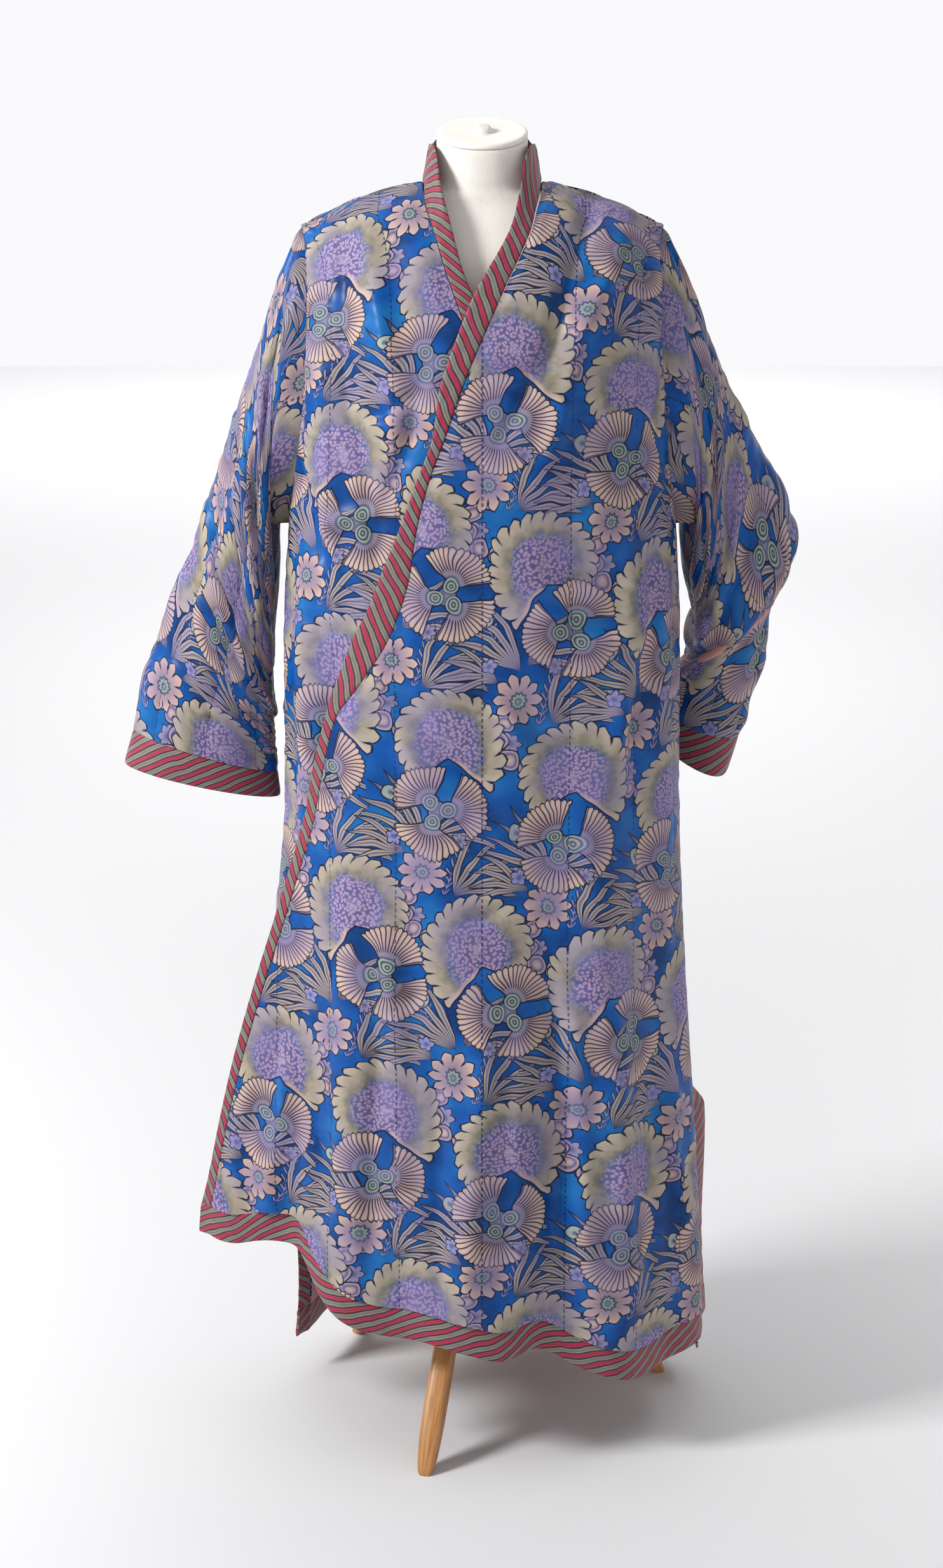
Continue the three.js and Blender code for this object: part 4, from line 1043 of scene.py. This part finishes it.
def bandUv(outer):
    # along the strip and across it, in mm
    along = np.linalg.norm(np.diff(outer.mean(1), axis=0), axis=-1)
    along = np.concatenate([[0], np.cumsum(along)])[:, None]
    across = np.linalg.norm(np.diff(outer, axis=1), axis=-1)
    across = np.concatenate([np.zeros((len(outer), 1)), np.cumsum(across, 1)], 1)
    return np.stack([along + np.zeros_like(across), across], -1)


def bandWall(name, outer, normals, material, thickness, seed=0):
    # rows along the strip, columns across it; a flat padded section with turned edges
    t = acrossSteps(outer.shape[1] - 1)[None, :]
    swell = np.sqrt(np.maximum(1 - np.abs(2 * t - 1) ** bands["round"], 0.02))
    uv = bandUv(outer)
    ripple = bands["pucker"] * np.sin((uv[..., 0] + 0.8 * uv[..., 1]) / 3.7 + seed + np.sin(uv[..., 0] / 23))
    ripple = ripple * (0.5 + 0.5 * np.sin(uv[..., 0] / 31 + seed)) * swell
    middle = outer - normals * thickness / 2
    front = middle + normals * (thickness / 2 * swell + ripple * 0.6)[..., None]
    back = middle - normals * (thickness / 2 * swell)[..., None]
    return wallObject(name, front, back, uv, [material])


def frontBand(name, places, edge, side, material):
    level, lift = places[0][:, -1:], places[2][:, -1:]
    t = acrossSteps(bands["across"])[None, :]
    row = read(edge, level)
    x = mix(row["seam"] - side * robe["seamGap"] * 0.9, row["free"], t)
    level = level + 0 * t
    angle = angleAtX(level, x, side > 0)
    outer = clothPoint(level, angle, lift + 0 * t, side > 0)
    outer[..., 2] += row["rise"] * t
    normals = gridNormals(outer, False, -side)
    normals[0, :, 1] = 0
    normals = unit(normals)
    return bandWall(name, outer, normals, material, robe["edging"], side), (level, angle, lift + 0 * t)


def slitFlare(level):
    return 20 * smooth(robe["slit"], robe["slit"] + 40, level) * mix(1, 0.45, smooth(1060, 1240, level))


def slitBandPlaces(places, column, sign, flare):
    level, angle, lift = (values[:, column] for values in places)
    bottom = level[-1]
    rows = np.linspace(robe["slit"], bottom, 60)
    angle, lift = np.interp(rows, level, angle), np.interp(rows, level, lift)
    t = acrossSteps(bands["across"])[None, :]
    gap = sideAngle(rows, robe["seamGap"])
    width = sideAngle(rows, slitWidth(rows)) - gap
    made = angle[:, None] + sign * (gap[:, None] + width[:, None] * t)
    lifted = lift[:, None] + (t * flare(rows)[:, None] if flare else 0 * t)
    return rows[:, None] + 0 * t, made, lifted


def placesBand(name, places, wing, material, seed):
    level, angle, lift = places
    outer = clothPoint(level, angle, lift, wing)
    return bandWall(name, outer, baseNormal(level, angle, wing), material, robe["edging"], seed)


def hemBand(name, edges, wing, material, seed):
    # edges: rows of places whose ends follow each other round the hem
    level, angle, lift = (np.concatenate([edge[k] for edge in edges]) for k in range(3))
    t = acrossSteps(bands["across"])[None, :]
    down = mix(robe["seamGap"], robe["hemBand"], t)
    spread = 0 * down
    return placesBand(
        name, (level[:, None] + down, angle[:, None] + spread, lift[:, None] + spread), wing, material, seed
    )


def lastRow(places):
    return tuple(values[-1] for values in places)


def turnedRow(places):
    return tuple(values[-1, ::-1] for values in places)


leftEdging = buildEdging("bias-cut striped cotton, left front", bands["leftSlant"])
rightEdging = buildEdging("bias-cut striped cotton, right front", bands["rightSlant"], 0.5)
collarEdging = buildEdging("bias-cut striped cotton, collar", bands["collarSlant"], 0.2)
hemEdging = buildEdging("bias-cut striped cotton, hems", bands["hemSlant"], 0.3)
slitEdging = buildEdging("bias-cut striped cotton, slits", bands["slitSlant"], 0.6)

leftBand, leftBandPlaces = frontBand("left_front_edging", leftPlaces, leftEdge, 1, leftEdging)
rightBand, rightBandPlaces = frontBand("right_front_edging", rightPlaces, rightEdge, -1, rightEdging)
leftSlit = slitBandPlaces(leftPlaces, 0, 1, slitFlare)
rightSlit = slitBandPlaces(rightPlaces, 0, -1, None)
backLeftSlit = slitBandPlaces(backs, 0, -1, None)
backRightSlit = slitBandPlaces(backs, -1, 1, None)
slitPieces = {
    "left_front_slit": placesBand("left_front_slit_edging", leftSlit, False, slitEdging, 1),
    "right_front_slit": placesBand("right_front_slit_edging", rightSlit, False, slitEdging, 2),
    "back_left_slit": placesBand("back_left_slit_edging", backLeftSlit, False, slitEdging, 3),
    "back_right_slit": placesBand("back_right_slit_edging", backRightSlit, False, slitEdging, 4),
}
leftHemPiece = hemBand(
    "left_front_hem_edging", [turnedRow(leftSlit), lastRow(leftPlaces), lastRow(leftBandPlaces)], True,
    hemEdging, 5
)
rightHemPiece = hemBand(
    "right_front_hem_edging", [turnedRow(rightSlit), lastRow(rightPlaces), lastRow(rightBandPlaces)], False,
    hemEdging, 6,
)
backHemPiece = hemBand(
    "back_hem_edging", [turnedRow(backLeftSlit), lastRow(backs), lastRow(backRightSlit)], False, hemEdging, 7
)


def declareEdging(node):
    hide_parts(node)


declareEdging("left_front_band")
declareEdging("right_front_band")
for key, piece in slitPieces.items():
    declareEdging(key + "_band")
declareEdging("left_front_hem_band")
declareEdging("right_front_hem_band")
declareEdging("back_hem_band")
print("edging ready")

collar = {
    "end": 38,  # height at the shoulder seams
    "back": 68,  # height at the middle of the back
    "lean": 7,
    "columns": 90,
    "neckX": (62, 54, 42, 28, 14, 0, -14, -28, -42, -54, -62),
}


def buildCollar():
    reach = robe["neckHalfWidth"]
    x = reach * np.cos(np.linspace(0, math.pi, collar["columns"]))
    half = np.arcsin((np.abs(x) / 187) ** (1 / robe["squareness"])) / degrees
    angle = 180 - np.sign(x) * half
    level = neckLevel(x)
    points = clothPoint(level, angle, neckRise(level, x))
    index = np.interp(-x, [-v for v in collar["neckX"]], np.arange(11))
    middle = np.sin(math.pi * index / 10)[:, None]
    up = acrossSteps(bands["across"])[None, :]
    lean, gap = collar["lean"] * up, robe["seamGap"] * (1 - up)
    outer = points[:, None, :] + np.stack([
        -lean * points[:, None, 0] / reach, -gap - lean * middle,
        gap + mix(collar["end"], collar["back"], middle) * up,
    ], -1)
    normals = gridNormals(outer, False, 1)
    if (normals[:, :, 1] * (outer[:, :, 1] > 0)).sum() < 0:
        normals = -normals
    normals[[0, -1], :, 1] = 0
    return bandWall("collar_edging", outer, unit(normals), collarEdging, robe["edging"], 9)


collarPiece = buildCollar()
declareEdging("collar")
print("collar ready")

sleeve = {
    "armholeLevels": (0, 14, 30, 46, 66, 90, 120, 160, 210, 265, 320, 370, 413),
    "clear": 27,  # the underarm stands this far off the body just outside the armhole
    "clothEnd": 0.94,
    "rows": 170,
    "columns": 144,
    "length": 590,
    # by side, in metres: round the cuff by the longest length, for a piece with a slanting head
    "cut": {1: (0.39, 0.66), -1: (0.43, 0.61)},
    "area": {1: 0.165, -1: 0.156},  # of the modelled cloth, in square metres
    "channels": 8,  # quilted channels round the sleeve
    "cuffSlant": -36,
}
leftRings = ("along outerX outerY outerZ innerX innerY innerZ depth", [
    (0, 187, 0, 1308, 204, 0, 1000, 40), (0.1, 206, 3, 1264, 217, 8, 962, 46),
    (0.25, 238, 8, 1188, 226, 20, 922, 50), (0.42, 285, 12, 1096, 230, 34, 892, 54),
    (0.54, 324, 16, 1022, 231, 46, 868, 56), (0.6, 334, 20, 992, 230, 62, 856, 55),
    (0.7, 320, 30, 930, 224, 92, 838, 50), (0.8, 303, 44, 858, 213, 122, 820, 46),
    (0.9, 286, 60, 782, 196, 152, 804, 42), (1, 266, 76, 704, 176, 178, 784, 42),
])
rightRings = ("along outerX outerY outerZ innerX innerY innerZ depth", [
    (0, 187, 0, 1308, 204, 0, 1000, 40), (0.1, 206, 2, 1262, 217, 4, 958, 46),
    (0.25, 236, 4, 1178, 224, 8, 902, 50), (0.45, 275, 6, 1070, 226, 12, 846, 52),
    (0.65, 314, 8, 958, 226, 14, 796, 50), (0.85, 360, 8, 846, 225, 14, 752, 46),
    (0.94, 377, 7, 776, 222, 14, 728, 46), (1, 388, 6, 738, 219, 14, 700, 48),
])
# along: share of the sleeve; slant: how far the crease moves on from the outer to the inner edge
leftCreases = [  # along, slant, width, height
    (0.2, 0.16, 0.022, -3), (0.3, 0.1, 0.05, -4), (0.37, 0.14, 0.02, 4), (0.44, 0.13, 0.02, -4),
    (0.5, 0.12, 0.04, 6), (0.56, 0.1, 0.016, -4), (0.61, 0.08, 0.035, -5), (0.68, 0.02, 0.03, 7),
    (0.72, 0.0, 0.014, -4), (0.76, -0.04, 0.04, -6), (0.83, -0.05, 0.02, 3), (0.88, -0.03, 0.02, -3),
]
rightCreases = [
    (0.22, 0.12, 0.05, -4), (0.3, 0.14, 0.02, 3), (0.4, 0.1, 0.018, -3), (0.48, 0.06, 0.05, -4),
    (0.56, 0.09, 0.02, 4), (0.62, 0.06, 0.016, -3), (0.7, -0.05, 0.05, 4), (0.8, -0.06, 0.02, -3),
    (0.88, -0.03, 0.018, 2),
]


def armhole(side, q):
    # q runs from 0 at the shoulder to 12 at the armpit down the front, and back up to 24 behind
    front = q <= 12
    level = np.interp(np.where(front, q, 24 - q), np.arange(13), sleeve["armholeLevels"])
    reach = armAngle(level) - sideInset(level, 0 * level)
    frontAngle = side * reach
    backAngle = 180 - side * reach
    angle = np.where(front, frontAngle, backAngle)
    lift = np.where(front & (side > 0), leftLift(level, frontAngle), 0)
    outward = np.where(front, side, -side)
    point = clothPoint(level, angle, lift)
    inside = clothPoint(level, angle - outward * 2, lift)
    away = unit(point - inside)
    ends = (np.abs(q) < 1e-6) | (np.abs(q - 12) < 1e-6)
    point[ends, 1] = 0
    away[ends] = (side, 0, 0)
    normal = baseNormal(level, angle, False)
    normal[np.abs(q - 12) < 1e-6] = (-0.51 * side, 0, -0.86)
    return point + away * robe["seamGap"] * 1.3, normal


def sleeveGrid(side, table, creases, shares, q):
    hole, holeNormals = armhole(side, q)
    s, turn = shares[:, None], (math.pi * q / 12)[None, :]
    r = read(table, shares)
    before, after = read(table, np.maximum(0, shares - 0.02)), read(table, np.minimum(1, shares + 0.02))

    def outer(row):
        return np.stack([row["outerX"], row["outerY"], row["outerZ"]], -1)

    def inner(row):
        return np.stack([row["innerX"], row["innerY"], row["innerZ"]], -1)

    centre = (outer(r) + inner(r)) / 2
    reach = (outer(r) - inner(r)) / 2
    along = unit((outer(after) + inner(after)) / 2 - (outer(before) + inner(before)) / 2)
    front = unit(np.cross(along, reach))
    push = np.zeros((len(shares), len(q)))
    for place, slant, width, height in creases:
        where = place + slant * (1 - np.cos(turn)) * 0.5 + 0.012 * np.sin(3 * turn + place * 40)
        uneven = 0.7 + 0.3 * np.cos(2 * turn + place * 9)
        push += height * bump(s - where, width) * smooth(0.1, 0.2, s) * uneven
    length = np.linalg.norm(reach, axis=-1)[:, None]
    made = centre[:, None] + reach[:, None] * (np.cos(turn) * (1 + push / length))[..., None]
    made = made + front[:, None] * (np.sin(turn) * (r["depth"][:, None] + push))[..., None]
    made[..., 0] *= side
    clear = sleeve["clear"] * smooth(0, 0.06, s) * smooth(0.24, 0.08, s) * (1 - np.cos(turn)) * 0.5
    high = mix(0.12, 0.28, (1 - np.cos(turn)) / 2)
    t = np.clip(s / high, 0, 1)
    grid = mix(hole[None], made, (t * t * (3 - 2 * t))[..., None])
    grid[..., 0] += side * clear
    return grid, holeNormals


def buildSleeve(side, name, node, table, creases, material, offset):
    q = 12 + 24 * np.arange(sleeve["columns"]) / sleeve["columns"]  # the seam is under the arm
    q = np.where(q >= 24 - 1e-9, q - 24, q)
    shares = np.concatenate([np.linspace(0, sleeve["clothEnd"], sleeve["rows"]),
                             sleeve["clothEnd"] + 0.0008 + 0.0592 * acrossSteps(bands["across"])])
    grid, holeNormals = sleeveGrid(side, table, creases, shares, q)
    normals = gridNormals(grid, True, side)
    centre = grid.mean(1, keepdims=True)
    if (normals * (grid - centre)).sum() < 0:
        normals = -normals
    weight = np.clip(1 - shares / 0.06, 0, 1)[:, None, None]
    normals = unit(mix(normals, holeNormals[None], weight))
    rows = sleeve["rows"]
    ring = np.linalg.norm(np.diff(grid, axis=1, append=grid[:, :1]), axis=-1)
    u = np.concatenate([np.zeros((len(grid), 1)), np.cumsum(ring, 1)], 1)
    u = u - u[:, -1:] / 2
    v = (shares * sleeve["length"])[:, None] + 0 * u
    uv = turned(u * side, v, 0, offset)
    channel = (0.5 + np.arange(sleeve["columns"] + 1) / sleeve["columns"]) * sleeve["channels"]
    quilt = np.stack([channel * 1000 + 0 * v, v], -1)
    relief = robe["quiltRelief"] * np.abs(np.sin(math.pi * channel[:-1])) ** 0.8 + 0 * shares[:, None]
    around = channel[:-1] % sleeve["channels"] + 0 * shares[:, None]
    relief = relief + puckers(around + 11 * (side > 0), v[:, :-1], 1, robe["puckers"])
    relief = relief * smooth(0, 0.05, shares)[:, None] * smooth(0.94, 0.92, shares)[:, None]
    cloth, wall = grid[:rows], robe["wall"]
    silkPiece = wallObject(
        name + "_silk", cloth + normals[:rows] * relief[:rows, :, None], cloth - normals[:rows] * wall,
        uv[:rows], [silk, lining], closed=True, quilt=quilt[:rows],
    )
    cuff, cuffNormals = grid[rows:], normals[rows:]
    t = acrossSteps(bands["across"])[:, None]
    swell = np.sqrt(np.maximum(1 - np.abs(2 * t - 1) ** bands["round"], 0.02))[..., None]
    middle = cuff - cuffNormals * robe["edging"] / 2
    half = robe["edging"] / 2
    cuffPiece = wallObject(
        name + "_cuff_edging", middle + cuffNormals * half * swell, middle - cuffNormals * half * swell,
        uv[rows:], [material], closed=True, slots=(0, 0, 0),
    )
    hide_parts(node)
    declareEdging(node + "_cuff_band")
    return silkPiece, cuffPiece


cuffEdging = buildEdging("bias-cut striped cotton, cuffs", sleeve["cuffSlant"], 0.1)
buildSleeve(1, "left_sleeve", "left_sleeve", leftRings, leftCreases, cuffEdging, (20, 40))
buildSleeve(-1, "right_sleeve", "right_sleeve", rightRings, rightCreases, cuffEdging, (0, 70))
print("sleeves ready")

form = {
    "rows": 150,
    "columns": 96,
    "neckTilt": 16,  # degrees, the cut top of the neck falls to the front
    "top": 1400,
    "seamHeight": 1349,  # where the neck's cover is sewn to the body's
}
formSections = ("z halfWidth front back", [
    (664, 128, 78, 74), (672, 150, 92, 90), (690, 162, 101, 98), (750, 168, 107, 102), (850, 148, 96, 86),
    (930, 132, 88, 74), (1010, 142, 100, 80), (1100, 162, 112, 90), (1170, 172, 106, 90), (1234, 174, 94, 85),
    (1279, 172, 77, 73), (1304.2, 164, 62, 60), (1322.3, 140, 54, 52), (1334.7, 104, 50, 49),
    (1343.6, 66, 49, 48),
    (1352, 50, 48, 48), (1368, 47, 47, 47), (1400, 47, 47, 47),
])


def loftObject(name, rings, material, layer, sharpAngle=50):
    # a closed body through rings of points, with both ends drawn to a point
    ends = [np.repeat(ring.mean(0)[None], len(ring), 0) for ring in (rings[0], rings[-1])]
    grid = np.concatenate([ends[:1], rings, ends[1:]])
    rows, columns = grid.shape[:2]
    around = np.linalg.norm(np.diff(grid, axis=1, append=grid[:, :1]), axis=-1).max(0)
    around = np.concatenate([[0], np.cumsum(around)])
    down = np.linalg.norm(np.diff(grid, axis=0), axis=-1).mean(1)
    down = np.concatenate([[0], np.cumsum(down)])
    i, j = (k.ravel() for k in np.meshgrid(np.arange(rows - 1), np.arange(columns), indexing="ij"))
    after = (j + 1) % columns
    top, low = i * columns, (i + 1) * columns
    faces = np.stack([top + j, low + j, low + after, top + after], -1)
    uvs = np.stack([
        np.stack([around[j], down[i]], -1), np.stack([around[j], down[i + 1]], -1),
        np.stack([around[j + 1], down[i + 1]], -1), np.stack([around[j + 1], down[i]], -1),
    ], 1)
    points, slots = grid.reshape(-1, 3), np.zeros(len(faces))
    return meshObject(name, points, faces, {layer: uvs}, slots, [material], sharpAngle)


def buildJersey():
    # cream jersey stretched over padding, matt, a little yellowed
    material, tree, surface = newMaterial("cream stretch jersey")
    where = addNode(tree, "UVMap", uv_map="jersey")
    where = addNode(tree, "VectorMath", where, (1000, 1000, 0), operation="MULTIPLY")
    tone = addNode(tree, "TexNoise", where, None, 0.012, 3.0)
    colour = addNode(tree, "MixRGB", tone, linear(0xE2DDD3), linear(0xF0ECE3))
    tree.links.new(colour, surface.inputs["Base Color"])
    surface.inputs["Roughness"].default_value = 0.75
    surface.inputs["Sheen Weight"].default_value = 0.15
    u = addNode(tree, "SeparateXYZ", where)
    ribs = addNode(tree, "Math", u, 2 * math.pi / 1.4, operation="MULTIPLY")
    ribs = addNode(tree, "Math", ribs, operation="SINE")
    lumps = addNode(tree, "TexNoise", where, None, 0.05, 3.0)
    height = addNode(tree, "Math", lumps, 12.0, ribs, operation="MULTIPLY_ADD")
    relief = tree.nodes.new("ShaderNodeBump")
    relief.inputs["Strength"].default_value = 0.5
    relief.inputs["Distance"].default_value = 0.0001
    tree.links.new(height, relief.inputs["Height"])
    tree.links.new(relief.outputs[0], surface.inputs["Normal"])
    return material


def ring(radiusX, front, back, z, tilt=0.0, columns=None):
    turn = 2 * math.pi * np.arange(columns or form["columns"]) / (columns or form["columns"])
    c = np.cos(turn)
    y = -np.where(c > 0, front, back) * c
    return np.stack([radiusX * np.sin(turn), y, z + y * tilt], -1)


def declarePiece(piece, node):
    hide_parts(node)


jersey = buildJersey()
neckTilt = math.tan(form["neckTilt"] * degrees)
heights = np.linspace(formSections[1][0][0], form["top"] - 1.5, form["rows"])
heights = np.concatenate([heights, [form["top"] - 0.4, form["top"]]])
torsoRings = []
for z in heights:
    row = read(formSections, z)
    seam = 0.9 * bump(z - form["seamHeight"], 1.6)
    inset = seam + max(0, z - form["top"] + 1.5) ** 2 * 0.5
    tilt = neckTilt * smooth(1372, form["top"], z)
    torsoRings.append(ring(row["halfWidth"] - inset, row["front"] - inset, row["back"] - inset, z, tilt))
torso = loftObject("form_torso_cover", np.array(torsoRings), jersey, "jersey", 80)
declarePiece(torso, "form_torso")
# the cap is slightly dished, with a small knob at its middle
capProfile = [  # radius, height above the cut
    (44, 0.3), (46, 0.7), (47, 2), (47, 4), (46.4, 5.4), (45, 6.3), (43, 6.5), (38, 6.0), (30, 5.2),
    (20, 4.6),
    (12, 4.5), (10, 4.8), (9.4, 6.5), (9.2, 9), (8.2, 10.4), (6, 11.2), (3, 11.5),
]
capRings = [ring(r, r, r, form["top"] + up, neckTilt) for r, up in capProfile]
cap = loftObject("form_neck_cap_cover", np.array(capRings), jersey, "jersey", 80)
declarePiece(cap, "form_neck_cap")
print("dress form ready")

stand = {
    "poleRadius": 14,
    "poleFrom": 296.3,
    "poleTo": 663.7,
    "hubRadius": 26,
    "hubFrom": 226,
    "hubTo": 296,
    "firstLeg": -16.6,
    "legRows": 90,
    "legSquareness": 3.6,
    "beech": 0xA8713A,
    "beechPale": 0xC08D52,
    "beechDark": 0x7E4E22,
}
legSections = ("reach z size", [
    (38.3, 286, 24), (50, 246, 24), (128, 130, 24), (186, 44, 24), (204, 14, 20), (212, 0, 15),
])


def buildBeech():
    # varnished beech, honey brown, with fine grain along the length and short flecks
    material, tree, surface = newMaterial("varnished beech")
    where = addNode(tree, "UVMap", uv_map="grain")
    where = addNode(tree, "VectorMath", where, (1000, 1000, 0), operation="MULTIPLY")
    long = addNode(tree, "VectorMath", where, (1, 0.06, 0), operation="MULTIPLY")
    grain = addNode(tree, "TexNoise", long, None, 0.35, 4.0, 0.6)
    colour = setStops(addNode(tree, "ValToRGB", grain), [
        (0.25, stand["beechDark"]), (0.45, stand["beech"]), (0.75, stand["beechPale"]),
    ])
    short = addNode(tree, "VectorMath", where, (1, 0.25, 0), operation="MULTIPLY")
    flecks = addNode(tree, "TexNoise", short, None, 1.1, 1.0)
    flecks = addNode(tree, "MapRange", flecks, 0.62, 0.7, 0.0, 0.45)
    colour = addNode(tree, "MixRGB", flecks, colour, linear(stand["beechDark"]))
    tree.links.new(colour, surface.inputs["Base Color"])
    rough = addNode(tree, "MapRange", grain, 0.3, 0.7, 0.34, 0.46)
    tree.links.new(rough, surface.inputs["Roughness"])
    surface.inputs["Coat Weight"].default_value = 0.3
    surface.inputs["Coat Roughness"].default_value = 0.25
    relief = tree.nodes.new("ShaderNodeBump")
    relief.inputs["Strength"].default_value = 0.3
    relief.inputs["Distance"].default_value = 0.0003
    tree.links.new(grain, relief.inputs["Height"])
    tree.links.new(relief.outputs[0], surface.inputs["Normal"])
    return material


def buildSteel():
    # brushed steel tube, fine marks round it
    material, tree, surface = newMaterial("brushed steel tube")
    where = addNode(tree, "UVMap", uv_map="grain")
    where = addNode(tree, "VectorMath", where, (40, 1000, 0), operation="MULTIPLY")
    marks = addNode(tree, "TexNoise", where, None, 1.6, 3.0)
    colour = addNode(tree, "MixRGB", marks, linear(0x9FA3A7), linear(0xC4C7CA))
    tree.links.new(colour, surface.inputs["Base Color"])
    surface.inputs["Metallic"].default_value = 1.0
    rough = addNode(tree, "MapRange", marks, 0.3, 0.7, 0.24, 0.4)
    tree.links.new(rough, surface.inputs["Roughness"])
    return material


def legRings(turn):
    dx, dy = math.sin(turn * degrees), -math.cos(turn * degrees)
    table = np.array(legSections[1])
    travel = np.concatenate([[0], np.cumsum(np.hypot(np.diff(table[:, 0]), np.diff(table[:, 1])))])
    keyed = ("travel reach z size", [(t, *row) for t, row in zip(travel, legSections[1])])
    around = 2 * math.pi * np.arange(32) / 32
    power = 2 / stand["legSquareness"]
    across = np.sign(np.cos(around)) * np.abs(np.cos(around)) ** power
    out = np.sign(np.sin(around)) * np.abs(np.sin(around)) ** power
    rings = []
    for travelled in np.linspace(0, travel[-1], stand["legRows"]):
        row = read(keyed, travelled)
        ends = min(travelled, travel[-1] - travelled)
        half = row["size"] / 2 - max(0, 2 - ends) ** 2 * 0.3
        reach = row["reach"] + out * half
        rings.append(np.stack([dx * reach + dy * across * half, dy * reach - dx * across * half,
                               row["z"] + 0 * reach], -1))
    return np.array(rings)


def turnedPost(name, radius, low, high, material, edge):
    # a round post with its end edges eased
    profile = [(radius - edge, low), (radius - edge * 0.3, low + edge * 0.3), (radius, low + edge)]
    profile += [(radius, z) for z in np.linspace(low + edge * 2, high - edge * 2, 12)]
    profile += [(radius, high - edge), (radius - edge * 0.3, high - edge * 0.3), (radius - edge, high)]
    return loftObject(name, np.array([ring(r, r, r, z, 0, 64) for r, z in profile]), material, "grain", 60)


beech, steel = buildBeech(), buildSteel()
declarePiece(turnedPost("stand_pole_tube", stand["poleRadius"], stand["poleFrom"], stand["poleTo"], steel, 1),
             "stand_pole")
declarePiece(turnedPost("stand_hub_turned", stand["hubRadius"], stand["hubFrom"], stand["hubTo"], beech, 3),
             "stand_hub")
for number in range(3):
    leg = loftObject("stand_leg_%d_shaped" % (number + 1), legRings(stand["firstLeg"] + 120 * number), beech,
                     "grain", 40)
    declarePiece(leg, "stand_leg_%d" % (number + 1))
print("stand ready")

bpy.context.view_layer.update()
